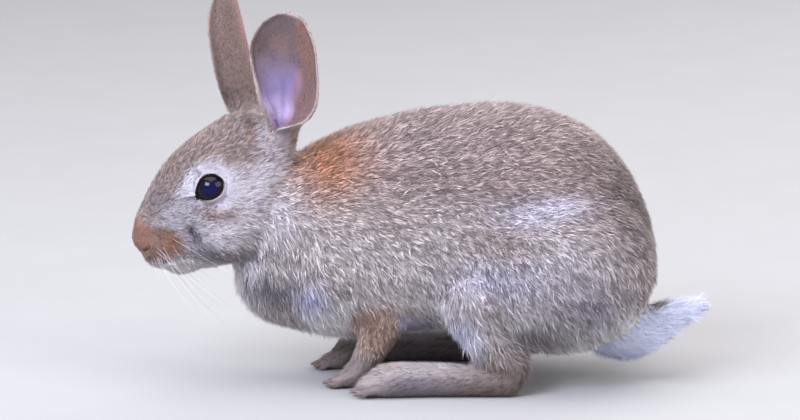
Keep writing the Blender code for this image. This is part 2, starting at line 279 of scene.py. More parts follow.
# ---------------------------------------------------------------- the head's own axes
EYE_MIDDLE = (centre_of("eye_left") + centre_of("eye_right")) / 2
LEFTWARDS = unit((centre_of("eye_left") - centre_of("eye_right")) * [1, 1, 0])
FORWARDS = np.cross(LEFTWARDS, [0, 0, 1])
EYE_RADIUS = float(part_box("eye_left")[1].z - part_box("eye_left")[0].z) / MM / 2
EYE_AHEAD, EYE_LIFT = 9, 7  # degrees that an eye looks ahead of sideways, and up
NOSE_TIP = np.array([0, 36.5, -22])  # in the head's own axes


def in_head(points):
    """Points as millimetres to the left of the head's middle, ahead of the eyes and above them."""
    away = points - EYE_MIDDLE
    return np.stack([away @ LEFTWARDS, away @ FORWARDS, away[..., 2]], -1)


def from_head(points):
    points = np.asarray(points, float)
    return EYE_MIDDLE + points[..., :1] * LEFTWARDS + points[..., 1:2] * FORWARDS + points[..., 2:] * [0, 0, 1]


def eye_axes(word):
    """The ways an eye looks, ahead across it, and up across it. It looks a little ahead and up."""
    turn, lift = math.radians(EYE_AHEAD), math.radians(EYE_LIFT)
    level = LEFTWARDS * SIDES[word] * math.cos(turn) + FORWARDS * math.sin(turn)
    look = level * math.cos(lift) + np.array([0, 0, math.sin(lift)])
    ahead = unit(FORWARDS - look * look.dot(FORWARDS))
    above = np.cross(look, ahead) * SIDES[word]
    return look, ahead, above * np.sign(above[2])


def round_eye(points, word):
    """How far points lie off the eye's axis and round it, in degrees, and how far from the eye's centre.
    Round it, 0 is ahead and 90 is above."""
    away = points - centre_of(f"eye_{word}")
    look, ahead, above = eye_axes(word)
    reach = np.linalg.norm(away, axis=-1)
    off = np.degrees(np.arccos(np.clip(away @ look / np.maximum(reach, 1e-6), -1, 1)))
    return off, np.degrees(np.arctan2(away @ above, away @ ahead)), reach


def lid_edge(around):
    """The half angle of the opening between the lids, which is drawn out into the tear corner below ahead."""
    radius = 6.85 + 0.45 * np.cos(np.radians(around)) + 0.65 * np.cos(np.radians(2 * around + 40))
    radius = radius + 1.1 * np.exp(-(((around + 36) / 14) ** 2)) - 1.2 * np.exp(-(((around - 14) / 30) ** 2))
    return np.degrees(np.arcsin(np.clip(radius / (EYE_RADIUS + 0.55), 0, 0.99)))


def off_line(points, rows):
    """Distance from points of the head to a smooth line, which runs on both sides of the head."""
    line = smooth_rows(rows, LINE_STEPS)
    folded = np.abs(points * [1, 0, 0]) + points * [0, 1, 1]
    nearest = np.full(len(points), 1e9)
    for place in line:
        nearest = np.minimum(nearest, ((folded - place) ** 2).sum(-1))
    return np.sqrt(nearest)


# lines on the left half of the head, in its own axes; the right half has the same
NOSTRIL = [(7.2, 32.2, -31.3), (8.4, 31.2, -30.8), (9.3, 30.2, -30.0)]
NOSE_WING = [(9.4, 29.6, -28.6), (9.2, 31.4, -26.0), (8.4, 33.2, -23.4)]
PHILTRUM = [(0, 36.5, -31), (0, 34.5, -33.5), (0, 31, -36.5), (0, 28, -38.5)]
MOUTH = [(0, 29.5, -36.6), (5, 27.5, -37.0), (9, 23, -36.4), (10, 18, -35.8), (9.4, 12, -35.2)]
CHEEK_STREAK = [(13.8, 8.5, -20.5), (14.7, 3, -25.5), (15.2, -2, -29.5)]
STREAK_TO_MUZZLE = [(17, 9, -4.5), (14, 13, -8), (12, 17, -12), (11.5, 20, -17)]
GROOVES = [  # the line, its width and its depth
    (NOSTRIL, 1.0, 1.8),
    (NOSE_WING, 0.9, 0.3),
    (PHILTRUM, 0.9, 1.1),
    (MOUTH, 1.1, 1.2),
]


def between_toes(points):
    """From 0 to 1, how deep points of a foot lie in the groove between two toes."""
    deep = np.zeros(len(points))
    for foot in sorted({name.rsplit("_", 1)[0] for name in CLAWS}):
        claws = np.array([centre_of(name) for name in CLAWS if name.startswith(foot)])
        claws = claws[np.argsort(claws[:, 0])]
        for place in (claws[1:] + claws[:-1]) / 2:
            beside = np.exp(-(((points[:, 0] - place[0]) / TOE_GAP) ** 2)) * (points[:, 2] < FOOT_TOP)
            deep = np.maximum(deep, beside * step(place[1] + TOE_LENGTH, place[1] + 4, points[:, 1]))
    return deep


# ---------------------------------------------------------------- skin
def ear_axes(word):
    """Root, tip, and the ways the ear rises, opens and runs across."""
    root, tip, turn = EAR_LINES[word]
    root, tip, turn = np.array(root, float), np.array(tip, float), math.radians(turn)
    rise = unit(tip - root)
    opening = np.array([SIDES[word] * math.cos(turn), -math.sin(turn), 0])
    opening = unit(opening - rise * opening.dot(rise))
    return root, tip, rise, opening, np.cross(rise, opening)


def ear_section(word, share):
    """At shares of an ear's length: the middle of its curl, the ways it opens and runs across, its radius and
    the half angle of its curl."""
    root, tip, rise, opening, across = ear_axes(word)
    table = smooth_rows(EAR_SHAPE, EAR_TABLE_STEPS)
    width, curl, back, turned = (np.interp(share, table[:, 0], table[:, k]) for k in (1, 2, 3, 4))
    set_back, opened_ahead, narrowed = EAR_CHANGES[word]
    width = width * (1 - narrowed * np.exp(-(((share - 0.3) / 0.2) ** 2)))
    curl = np.radians(curl)
    radius = width / 2 / np.sin(np.minimum(curl, math.pi / 2))
    front = across * EAR_FRONT[word]
    share = share[:, None]
    middle = root + (tip - root) * share + opening * radius[:, None] - front * (set_back * back)[:, None]
    turn = np.radians(turned * opened_ahead)[:, None]
    opening = opening * np.cos(turn) + front * np.sin(turn)
    return middle, opening, np.cross(rise, opening), radius, curl


def ear_rings(word):
    """The rings of one ear's cup, curled into a tube at its root and open towards its round tip."""
    shares = smooth_rows(EAR_SHAPE, EAR_TABLE_STEPS)[:, 0]
    rings = []
    for share, middle, opening, across, radius, curl in zip(shares, *ear_section(word, shares)):
        wall = mix(ROOT_WALL, mix(EAR_WALL, THIN_WALL, step(0.3, 0.6, share)), step(0.22, 0.32, share))
        angles = np.linspace(-curl, curl, EAR_POINTS)
        ring = []
        for reach, order in ((radius + wall / 2, angles), (radius - wall / 2, angles[::-1])):
            ring += [middle - opening * reach * math.cos(a) + across * reach * math.sin(a) for a in order]
        rings.append(ring)
    return rings


def in_ear(points, word):
    """Share of the ear's length, place across its cup from -1 to 1, how far inside the middle face of the cup's
    wall, and how far from its edge."""
    root, tip, rise, _, _ = ear_axes(word)
    share = (points - root) @ rise / np.linalg.norm(tip - root)
    middle, opening, across, radius, curl = ear_section(word, share)
    away = points - middle
    along_back, along_across = -(away * opening).sum(1), (away * across).sum(1)
    place = np.arctan2(along_across, along_back) / curl
    return share, place, radius - np.hypot(along_back, along_across), radius * curl * (1 - np.abs(place))


def settle(obj):
    """Makes the object's modifiers real."""
    graph = bpy.context.evaluated_depsgraph_get()
    mesh = bpy.data.meshes.new_from_object(obj.evaluated_get(graph), depsgraph=graph)
    bpy.data.objects.remove(obj)
    return mesh


def fused_flesh():
    """One closed mesh over the flesh, both ears and the eyeballs."""
    bm = bmesh.new()
    for name in FLESH:
        part = bmesh.new()
        part.from_mesh(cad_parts[name].data)
        bmesh.ops.remove_doubles(part, verts=part.verts, dist=1e-6)
        part.normal_update()
        for v in part.verts:
            v.co += v.normal * SEAM_CLOSING * MM
        grown = bpy.data.meshes.new("grown")
        part.to_mesh(grown)
        part.free()
        bm.from_mesh(grown)
        bpy.data.meshes.remove(grown)
    for word in SIDES:
        mesh = ring_mesh("ear", [ear_rings(word)])
        bm.from_mesh(mesh)
        bpy.data.meshes.remove(mesh)
        place = Matrix.Translation(Vector(centre_of(f"eye_{word}")) * MM)
        bmesh.ops.create_uvsphere(bm, u_segments=48, v_segments=32, radius=(EYE_RADIUS + 0.2) * MM, matrix=place)
    mesh = bpy.data.meshes.new("flesh")
    bm.to_mesh(mesh)
    bm.free()
    obj = in_scene("flesh", mesh)
    fuse = obj.modifiers.new("fuse", "REMESH")
    fuse.mode = "VOXEL"
    fuse.voxel_size = SKIN_VOXEL * MM
    relax = obj.modifiers.new("relax", "SMOOTH")
    relax.factor = 0.5
    relax.iterations = SKIN_SMOOTHING
    return settle(obj)


def refined(mesh, chosen):
    """Halves every edge of the mesh whose two ends are chosen."""
    bm = bmesh.new()
    bm.from_mesh(mesh)
    bm.verts.ensure_lookup_table()
    edges = [e for e in bm.edges if chosen[e.verts[0].index] and chosen[e.verts[1].index]]
    bmesh.ops.subdivide_edges(bm, edges=edges, cuts=1, use_grid_fill=True)
    bm.to_mesh(mesh)
    bm.free()


def detail_zone(points, reach):
    """Where the skin needs a fine mesh: round both eyes, and over the nose and mouth."""
    head = in_head(points)
    zone = (np.linalg.norm(head - NOSE_TIP, axis=1) < reach + 7) | (off_line(head, MOUTH) < reach * 0.4)
    for word in SIDES:
        zone |= np.linalg.norm(points - centre_of(f"eye_{word}"), axis=1) < reach + 1
    return zone


def hollowed_ears(points):
    """Sinks the head's skin inside the root of each ear's cup, so that the cup runs down to a narrow end."""
    for word in SIDES:
        share, _, inside, _ = in_ear(points, word)
        cup = step(0.9, 2.6, inside) * step(-0.24, -0.12, share) * step(0.36, 0.3, share)
        points = points - ear_axes(word)[2] * (EAR_HOLLOW * cup)[:, None]
    return points


def nearest_nodes(points):
    """For each point, the number in COATED of the solid it is nearest to."""
    vertices, faces, owners = [], [], []
    for number, name in enumerate(COATED):
        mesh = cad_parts[name].data
        start = len(vertices)
        vertices += [v.co / MM for v in mesh.vertices]
        faces += [[start + i for i in p.vertices] for p in mesh.polygons]
        owners += [number] * len(mesh.polygons)
    tree = BVHTree.FromPolygons(vertices, faces)
    owners = np.array(owners)
    return owners[[tree.find_nearest(Vector(p))[2] for p in points]]


def shape_lids(points):
    """Opens the skin over each eyeball and folds it into an upper and a lower lid."""
    out = points.copy()
    for word in SIDES:
        centre = centre_of(f"eye_{word}")
        off, around, reach = round_eye(points, word)
        past = off - lid_edge(around)
        outside = np.maximum(past, 0)
        above = np.clip(np.sin(np.radians(around)), 0, 1)
        rise = 0.55 + 0.05 * outside + 0.0055 * outside**2
        target = np.clip(reach, EYE_RADIUS + 0.3, EYE_RADIUS + rise)
        target += (0.15 + 0.3 * above) * np.exp(-(((past - 4.5) / 3.5) ** 2))
        target -= (0.1 + 0.3 * above) * np.exp(-(((past - 12) / 4) ** 2))
        target = mix(target, EYE_RADIUS - 1.1, 1 - step(-2.0, 1.0, past))
        weight = (1 - step(24, 38, past)) * (reach < 23)
        moved = centre + (points - centre) / reach[:, None] * target[:, None]
        out = mix(out, moved, weight)
    return out


# ---------------------------------------------------------------- lie, depth and length of the coat
# depth of the coat, length and width of a tuft, locks on a square millimetre, width of a lock,
# and the way the hair lies
COATS = {
    "trunk": (2.9, 5.6, 0.46, 0.7, 1.1, (0, 1, -0.42)),
    "neck": (3.2, 6.2, 0.46, 0.66, 1.1, (0, 1, -0.5)),
    "haunch": (2.9, 5.8, 0.46, 0.7, 1.1, (0, 0.8, -0.75)),
    "tail": (5.0, 8.0, 0.36, 1.9, 1.6, (0, 1, 0.1)),
    "foreleg": (2.0, 4.8, 0.42, 0.85, 1.0, (0, 0.15, -1)),
    "head": (1.7, 3.7, 0.3, 1.14, 0.8, (0, 1, 0)),
    "forefoot": (1.0, 3.0, 0.34, 1.0, 0.85, (0, -1, -0.3)),
    "hindfoot": (1.5, 4.2, 0.36, 0.95, 0.95, (0, -1, -0.15)),
    "ear": (0.35, 1.8, 0.26, 1.15, 0.8, (0, 0, 1)),
}
DEPTH, LENGTH, WIDTH, LOCKS, LOCK_WIDTH = range(5)
SIZES, LIE = slice(0, 5), slice(5, 8)
EAR_ROOT_COAT, EAR_ROOT_END = (1.7, 4.4, 0.32, 1.1, 0.9), 0.27  # and the share of the ear where it ends
REGION_ROUNDS = 110  # how far the coat is evened out from one region to the next
# degrees that the lie wanders over the body, from lock to lock and from tuft to tuft
LOOSE_TURN, LOCK_TURN, TUFT_TURN = 11, 13, 9
HAIRS = 4  # straight hairs in a lock
UNDERCOAT_SHARE = 0.32  # how many locks have a thicker bent tuft under their straight hairs
PALE_BASE, TICKED_BASE = 0.88, 0.79  # shade of a tuft at its root, in a plain pale coat and in a ticked one
DARK_TIP, PALE_TIP = 0.15, 1.02  # shade of its tip
DARK_BAND, PALE_BAND = 0.42, 0.98  # shade of a bent tuft halfway
TAIL_LIFT = 0.3  # how far the tail's hairs are shaded as if they faced up, for loose white hair passes light on
BODY_PIECES = 6
WEDGES_MEET = 72  # height of the line along the body that these pieces meet in
WEDGE_STEP = 2  # degrees to which the cuts between them are found
COAT_SLOTS = {"ear": "ear_fur", "feet": "foot_fur", "tail": "tail_fur"}  # the rest is agouti_fur
ROOT_DEPTH = 0.3  # how far under the skin a tuft starts
TUFT_RISE = (0.84, 0.22)  # height of a tuft as a share of the coat's depth, and how much that varies
LOCK_CLOSING = 0.7  # how far the tufts of a lock lean together towards its tip
FALL = 110  # a tuft's tip sinks by its length squared over this


def coat_fields(points, normals, edges, near):
    """The sizes of the coat on the skin, in the columns of SIZES, and its lie."""
    kinds = [name.split("_")[0] for name in COATED]
    fields = np.array([(*COATS[kind][:5], *COATS[kind][5]) for kind in kinds])[near]
    for word in SIDES:
        here = near == COATED.index(f"ear_{word}")
        share, _, inside, _ = in_ear(points, word)
        fields[here & (share < EAR_ROOT_END) & (inside < 0), SIZES] = EAR_ROOT_COAT
        fields[here, LIE] = ear_axes(word)[2] + [0, 0.5, 0]
    head = in_head(points)
    is_head = near == COATED.index("head")
    ways = unit(head - NOSE_TIP - [0, 4, 4])
    ways = ways[:, :1] * LEFTWARDS + ways[:, 1:2] * FORWARDS + ways[:, 2:] * [0, 0, 1]
    fields[is_head, LIE] = ways[is_head]
    fields = spread(fields, edges, REGION_ROUNDS)
    for word in SIDES:
        share, _, inside, _ = in_ear(points, word)
        cup = step(-0.4, 0.6, inside) * step(-0.1, 0, share) * (near == COATED.index(f"ear_{word}"))
        fields[:, SIZES] = mix(fields[:, SIZES], np.array(COATS["ear"][:5]), cup[:, None])

    x, y, z = points.T
    is_body = [number for number, name in enumerate(FLESH) if name.startswith(("trunk", "haunch", "neck"))]
    body = np.isin(near, is_body).astype(float)
    down = 0.08 + 1.5 * step(105, 30, z) + 0.9 * step(55, 112, y)
    body_lie = np.stack([0 * x, 1 + 0 * x, -down], 1)
    fields[:, LIE] = mix(fields[:, LIE], unit(body_lie), spread(body, edges, 60))
    chest = step(-30, -62, y) * step(88, 60, z) * (1 - is_head)
    fields[:, LIE] = mix(fields[:, LIE], np.array([0, 0.55, -1]), 0.8 * chest)
    belly = step(50, 32, z) * step(-70, -45, y) * step(100, 80, y) * body
    grow = 1 + 0.35 * chest + 0.7 * spread(belly, edges, 20)
    fields[:, DEPTH] *= grow
    fields[:, LENGTH] *= grow

    # the hair of the face is short towards the nose and the lids, with finer and closer locks
    nose = np.linalg.norm(head - NOSE_TIP, axis=1)
    shorten = mix(0.26, 1.0, step(3, 34, nose))
    for word in SIDES:
        off, around, reach = round_eye(points, word)
        lids = step(2, 40, off - lid_edge(around)) + step(13, 19, reach)
        shorten = np.minimum(shorten, mix(0.12, 1.0, np.clip(lids, 0, 1)))
    shorten = mix(1.0, shorten, np.exp(-((np.maximum(nose - 45, 0) / 14) ** 2)))
    fields[:, DEPTH] *= shorten
    fields[:, LENGTH] *= mix(0.35, 1.0, step(0, 1, shorten))
    fields[:, WIDTH] *= mix(0.55, 1.0, shorten)
    fields[:, LOCKS] *= mix(1.9, 1.0, shorten)
    fields[:, LOCK_WIDTH] *= mix(0.55, 1.0, shorten)

    lie = along_skin(fields[:, LIE], normals)
    lie = unit(turned(lie, normals, LOOSE_TURN * ripple(points, 17)))
    return fields[:, SIZES], unit(spread(lie, edges, 3))


# ---------------------------------------------------------------- markings, the same for skin and coat
# each colour of hair, and the share of its locks that have dark tips
HAIR = {
    name: np.append(linear(code), ticked)
    for name, (code, ticked) in {
        "back": ("#ad9a97", 0.55),
        "flank": ("#cec2c1", 0.44),
        "belly": ("#faf6f8", 0.12),
        "nape": ("#b68064", 0.36),
        "warm": ("#a69084", 0.5),
        "rump": ("#7a6d6c", 0.5),
        # painted shade: the lower thigh and the underside of the haunch are made darker
        "low_thigh_shade": ("#6f6664", 0.3),
        "rump_side": ("#958e9d", 0.3),
        # a painted highlight: the top of the haunch is made paler where the light falls on it
        "haunch_top_highlight": ("#bcb6c4", 0.15),
        # painted shade: the chest under the jaw is made darker
        "chest": ("#746f74", 0.3),
        "chest_blue": ("#b4b2d0", 0.1),
        "forehead": ("#9e8a84", 0.55),
        "cheek": ("#c2b9be", 0.16),
        "ring": ("#bfb9c4", 0.03),
        # painted light: the front of the eye ring is made paler where it faces away from the light
        "ring_front_painted_light": ("#dbd5df", 0.02),
        # painted shade: the top of the eye ring is darkened against the light from above
        "ring_top_painted_shade": ("#aca6ae", 0.03),
        "bridge": ("#756865", 0.4),
        "prenose": ("#a69ea4", 0.2),
        "nose": ("#8a6457", 0.0),
        "orange": ("#8e6852", 0.1),
        "pad": ("#7e645a", 0.08),
        "pad_spot": ("#5a4238", 0.0),
        "jaw": ("#918b8e", 0.2),
        "streak": ("#443e43", 0.3),
        "throat": ("#cdc6ca", 0.02),
        # the dark rim of the lids; it also paints the nostrils, nose grooves, philtrum and mouth nearly black as
        # painted shade
        "lid_rim_and_crease_shade": ("#070405", 0.0),
        "lid_pale": ("#9a8c98", 0.0),
        "foot": ("#a89c9a", 0.12),
        # the sides of the feet: partly their own colour, partly painted shade
        "foot_side_and_shade": ("#857b80", 0.2),
        "heel": ("#84756f", 0.3),
        "forearm": ("#b4998d", 0.3),
        "thigh": ("#b8b2c2", 0.2),
        "white": ("#bcbbd2", 0.0),
        "tail_top": ("#64544f", 0.3),
        "tail_under": ("#d9dff6", 0.0),
        "ear_back": ("#7a6660", 0.6),
        # dark brown of the ears' edges and brow marks, also used as painted shadow at the ears' roots and rear and
        # painted shade between the toes
        "ear_edge": ("#54443f", 0.15),
        "ear_rim": ("#ad9c97", 0.0),
        "ear_thin": ("#aa807b", 0.4),
        "ear_well": ("#84769b", 0.0),
        "ear_deep": ("#dccaf2", 0.0),
        "ear_taupe": ("#69595a", 0.3),
        "ear_ridge": ("#9c7076", 0.1),
        "ear_patch": ("#8e7068", 0.1),
        "ear_inner_fur": ("#806259", 0.6),
        "ear_vein": ("#6c5684", 0.0),
    }.items()
}
BODY_MARKS = [  # colour, centre, radii and strength, the same on both sides
    ("rump", (10, 105, 88), (45, 24, 36), 0.9),
    ("nape", (14, -41, 106), (24, 19, 19), 1.0),
    ("nape", (10, -58, 118), (15, 12, 10), 0.45),
    ("warm", (54, 40, 73), (26, 20, 11), 0.8),
    ("warm", (42, -12, 84), (20, 20, 12), 0.35),
    ("thigh", (50, 50, 78), (26, 34, 12), 0.1),
    ("rump_side", (40, 80, 43), (32, 18, 13), 0.8),
    # painted shade low on the thigh, under the haunch
    ("low_thigh_shade", (46, 56, 26), (18, 26, 12), 0.85),
    # painted highlight along the top of the haunch
    ("haunch_top_highlight", (46, 50, 87), (24, 15, 6), 0.75),
    ("haunch_top_highlight", (46, 66, 90), (24, 14, 6), 0.85),
    ("thigh", (50, 60, 62), (24, 26, 12), 0.35),
    ("thigh", (52, 33, 55), (22, 27, 9), 0.8),
    ("white", (44, 20, 27), (12, 8, 10), 1.0),
    # painted shade on the chest under the jaw
    ("chest", (22, -70, 45), (22, 15, 9), 0.9),
    ("chest_blue", (24, -50, 43), (14, 8, 7), 0.95),
    ("cheek", (26, -67, 84), (18, 11, 15), 0.8),
    ("throat", (0, -78, 42), (14, 16, 14), 0.8),
]
FACE_MARKS = [  # colour, centre and radii in the head's own axes, strength and gain
    ("throat", (8, 13, -38), (12, 9, 4), 0.85, 1.3),
    ("cheek", (19, -28, 26), (11, 8, 13), 0.7, 1.4),
    # painted shadow between the roots of the two ears
    ("ear_edge", (12, -19, 31), (8, 2.4, 9), 0.75, 1.2),
    ("nape", (14, -19.5, 24), (5, 2.2, 3), 0.4),
    ("ear_edge", (14, 0, 22), (4, 4.5, 1.6), 0.45, 1.2),
]
# along an ear, and how far across its cup the fur of its rear wall starts
EAR_FUR_LINE = ((0.17, 0.24, 0.3, 0.37, 0.47, 0.6), (0.3, 0.16, 0.1, 0.04, -0.09, -0.2))
EAR_VEINS = ((0.3, 0.1, 0.7), (0.1, -0.2, 1.9), (0.5, 0.35, 3.1))  # start across the cup, lean and sway


def ear_markings(points, word, colour):
    """Bare lilac pink low in the cup, thin brown hair above it, a pale rim and a brown back, with painted shadow
    low on its rear edge.
    """
    share, place, inside, from_edge = in_ear(points, word)
    front = place * EAR_FRONT[word]
    behind = step(-0.2, -0.7, front)
    back = mix(HAIR["ear_back"], HAIR["ear_thin"], step(0.35, 0.75, share) * step(0.3, -0.5, front))
    # painted shadow low on the rear edge of the ear's back
    back = mix(back, HAIR["ear_edge"], 0.5 * step(0.6, 0.5, share) * step(0.32, 0.4, share) * behind)
    back = mix(back, HAIR["cheek"], 0.9 * step(0.4, 0.31, share) * step(-0.1, -0.5, front))
    back = mix(back, HAIR["ear_edge"], 0.6 * np.exp(-(((from_edge - 2.6) / 1.6) ** 2)) * step(0.2, 0.6, front))
    back = mix(back, HAIR["ear_rim"], 0.8 * step(1.5, 0.4, from_edge))

    cup = mix(HAIR["ear_well"], HAIR["ear_deep"], step(0.46, 0.24, share))
    along = np.stack([share * 68, place * 14, 0 * share], 1)
    veins = np.zeros(len(points))
    for start, lean, sway in EAR_VEINS:
        away = (front - (start + lean * share + 0.07 * np.sin(share * 9 + sway))) * 14 / 0.8
        veins = np.maximum(veins, np.exp(-(away**2)) * step(0.1, 0.2, share) * step(0.62, 0.4, share))
    cup = mix(cup, HAIR["ear_vein"], 0.4 * veins)
    upper = step(0.44, 0.78, share + 0.04 * ripple(along, 14) + 0.1 * np.maximum(front, 0))
    cup = mix(cup, HAIR["ear_taupe"], upper)
    patch = np.exp(-(((share - 0.74) / 0.09) ** 2) - ((front - 0.2) / 0.3) ** 2)
    cup = mix(cup, HAIR["ear_patch"], 0.5 * patch)
    furred = np.interp(share, *EAR_FUR_LINE) - front
    cup = mix(cup, HAIR["ear_inner_fur"], 0.95 * step(-0.16, 0.2, furred))
    ends = 0.5 + 0.5 * step(0.3, 0.2, share) + 0.5 * step(0.35, 0.5, share)
    ridge = np.exp(-(((furred + 0.02) / 0.09) ** 2)) * step(0.68, 0.55, share) * ends
    cup = mix(cup, HAIR["ear_ridge"], 0.55 * np.clip(ridge, 0, 1))
    streaks = ripple(along * [0.16, 1, 1], 2.4)[:, None] * 0.07 * step(0.3, 0.6, share)[:, None]
    cup = cup * (1 + streaks)

    width = mix(1.1, 3.0, step(0.6, 0.3, share) * step(-0.3, 0.6, front))
    dark = np.exp(-(((from_edge - width - 1.2) / 0.8) ** 2)) * step(0.35, 0.55, share)
    cup = mix(cup, HAIR["ear_edge"], 0.75 * dark)
    darker = 0.8 * step(0.5, 0.8, front) * step(0.64, 0.72, share) * step(0.96, 0.9, share)
    rim = mix(HAIR["ear_rim"], HAIR["ear_edge"], darker)
    cup = mix(cup, rim, step(width + 0.5, width - 0.5, from_edge))

    inner = step(-0.1, 0.5, inside)
    ear = mix(mix(back, cup, inner), rim, step(0.955, 0.985, share))
    ear[:, 3] *= step(1.2, 2.6, from_edge) * step(0.97, 0.93, share)
    above_root = np.maximum(step(0.2, 0.34, share), inner * step(-0.12, -0.05, share))
    return mix(colour, ear, above_root * step(4.6, 2.8, -inside))


def body_colours(points, normals, near):
    """Grey brown above and white below, with a rufous nape and the marks of flanks, legs and tail. Shade is
    painted on the chest and low on the thigh, partly on the sides of the feet, and a highlight along the top of
    the haunch.
    """
    x, y, z = points.T
    colour = mix(HAIR["flank"], HAIR["back"], step(78, 108, z + 0.12 * (y + 20)))
    under = step(56, 36, z + 14 * normals[:, 2]) * step(-0.1, -0.6, normals[:, 2] - 0.012 * (34 - z))
    # the belly's white is kept off the lower thigh, which is painted dark there as shade
    low_thigh_shade = step(20, 34, y) * step(30, 40, np.abs(x))
    under = np.maximum(under, step(36, 26, z) * mix(1.0, 0.15, low_thigh_shade))
    colour = mix(colour, HAIR["belly"], under * step(-60, -50, y))
    for name, centre, radii, strength in BODY_MARKS:
        colour = mix(colour, HAIR[name], np.clip(strength * 1.15 * blob(points, centre, radii), 0, 1))

    fore = step(-36, -28, y) * step(12, 2, y) * step(44, 34, z) * (np.abs(x) > 7)
    colour = mix(colour, HAIR["forearm"], fore * (z > 9))
    colour = mix(colour, HAIR["orange"], 0.5 * blob(points, (26, -22, 32), (9, 6, 12)))
    colour = mix(colour, HAIR["white"], 0.9 * step(-13, -8, y) * fore * step(44, 30, z))
    hind = (y > -36) & (np.abs(x) > 28)
    # where a foot faces sideways and down it takes a darker colour: partly its own, partly painted shade
    upper = np.clip(step(0.1, 0.75, normals[:, 2]) + step(-10, -22, y), 0, 1)
    foot = mix(HAIR["foot_side_and_shade"], HAIR["foot"], upper)
    foot = mix(foot, HAIR["heel"], step(-2, 30, y) * mix(0.45, 1.0, step(14, 4, z)))
    foot = mix(mix(HAIR["heel"], HAIR["foot"], 0.45), foot, hind)
    colour = mix(colour, foot, step(20, 13, z) * (y < 60))
    colour = mix(colour, HAIR["heel"], step(22, 40, y) * step(28, 10, z) * hind * (y < 70))
    upper = step(0.5, 0.85, normals[:, 2] - 0.03 * (y - 112)) * step(132, 118, y)
    tail = mix(HAIR["tail_under"], HAIR["tail_top"], upper)
    return mix(colour, tail, near == COATED.index("tail"))


def dab(ground, folded, name, centre, radii, strength=1.0, gain=1.0):
    """Brushes a colour of hair over a spot on each side of the face. A gain widens its full strength."""
    spot = np.exp(-(((folded - centre) / radii) ** 2).sum(1))
    return mix(ground, HAIR[name], strength * np.clip(gain * spot, 0, 1))


def face_colours(points, head):
    """Brown forehead and bridge, grey cheeks and jaw, pale throat, brown whisker pads and a pink brown nose."""
    v, w = head[:, 1], head[:, 2]
    folded = np.stack([np.abs(head[:, 0]), v, w], 1)
    top = w + 0.25 * v + 0.6 * np.maximum(v - 12, 0) + step(14, 6, folded[:, 0]) * 14 + 2.5 * ripple(points, 7)
    face = mix(HAIR["cheek"], HAIR["forehead"], step(0, 13, top))
    face = mix(face, HAIR["jaw"], step(-26, -34, w))
    face = mix(face, HAIR["throat"], step(-35, -39, w))
    face = dab(face, folded, "bridge", (8, 24, -10), (8, 8, 9), 0.8, 1.2)
    face = dab(face, folded, "prenose", (12, 17, -14), (8, 9, 8), 0.8, 1.2)
    # the pale streak to the muzzle takes the colour of the ring's top, which is darkened as painted shade
    face = mix(face, HAIR["ring_top_painted_shade"], 0.5 * np.exp(-((off_line(head, STREAK_TO_MUZZLE) / 3.4) ** 2)))
    face = dab(face, folded, "forehead", (19, -2, -11.6), (10, 10, 4.2), 0.9, 1.3)

    pad = dab(HAIR["pad"], folded, "orange", (11, 17.5, -27), (9, 4.6, 7), 1.0, 1.3)
    pad = dab(pad, folded, "orange", (8, 32.4, -28.6), (6, 3, 2.6), 0.8)
    dots = step(0.35, 0.9, np.cos(2 * math.pi * (v + 0.5 * w) / 2.6) * np.cos(2 * math.pi * w / 3.4))
    pad = mix(pad, HAIR["pad_spot"], 0.6 * dots * step(-21, -24, w) * step(31, 28, v))
    muzzle = np.hypot((v - 24.5) / 12, (w + 28.5) / 8.6)
    face = mix(face, pad, step(1.35, 0.75, muzzle + 0.12 * ripple(points, 4)))
    face = mix(face, HAIR["nose"], step(1.4, 0.6, np.hypot((v - 35) / 7, (w + 23.5) / 6.8)))
    for place in ((10, 24.2, -20.4), (10.6, 21.2, -21.2), (11.3, 18, -21.6), (11, 17.6, -26)):
        face = dab(face, folded, "pad_spot", place, (4, 1.1, 0.8), 0.85)

    streak = np.exp(-((off_line(head, CHEEK_STREAK) / 3.6) ** 2)) * (0.9 + 0.35 * ripple(points, 3))
    face = mix(face, HAIR["streak"], np.clip(streak, 0, 1))
    for mark in FACE_MARKS:
        face = dab(face, folded, *mark)
    return face


def eye_ring(face, bare, points, word):
    """Pale hair round the eye, painted darker on top as shade and paler ahead as light, and bare lids, dark along
    their edge and paler behind and below.
    """
    off, around, reach = round_eye(points, word)
    past = off - lid_edge(around)
    across = reach * np.sin(np.radians(np.minimum(off, 90)))
    below = np.exp(-(((around + 80) / 40) ** 2))
    behind = np.exp(-(((np.abs(around) - 180) / 60) ** 2))
    above = np.exp(-(((around - 85) / 38) ** 2))
    ahead = np.exp(-(((around - 10) / 50) ** 2))
    outer = 13.0 - 4.6 * below + 1.6 * behind
    ring = step(2.5, 5, past) * step(outer + 3.8, outer - 3.4, across + 0.9 * ripple(points, 5))
    ring = ring * ((reach < 22) & (off < 100))
    # the ring is painted darker on top as shade and paler ahead as light
    pale_ring = mix(mix(HAIR["ring"], HAIR["ring_top_painted_shade"], above), HAIR["ring_front_painted_light"], ahead)
    face = mix(face, pale_ring, ring * (1 - 0.3 * below))
    rim = step(3.2, 1.6, past) * (reach < 12)
    pale = step(0.1, 0.9, -np.cos(np.radians(around - 50))) * step(-0.6, 0.3, past) * step(2.4, 1.6, past)
    return mix(face, mix(HAIR["lid_rim_and_crease_shade"], HAIR["lid_pale"], pale), rim), np.maximum(bare, rim)


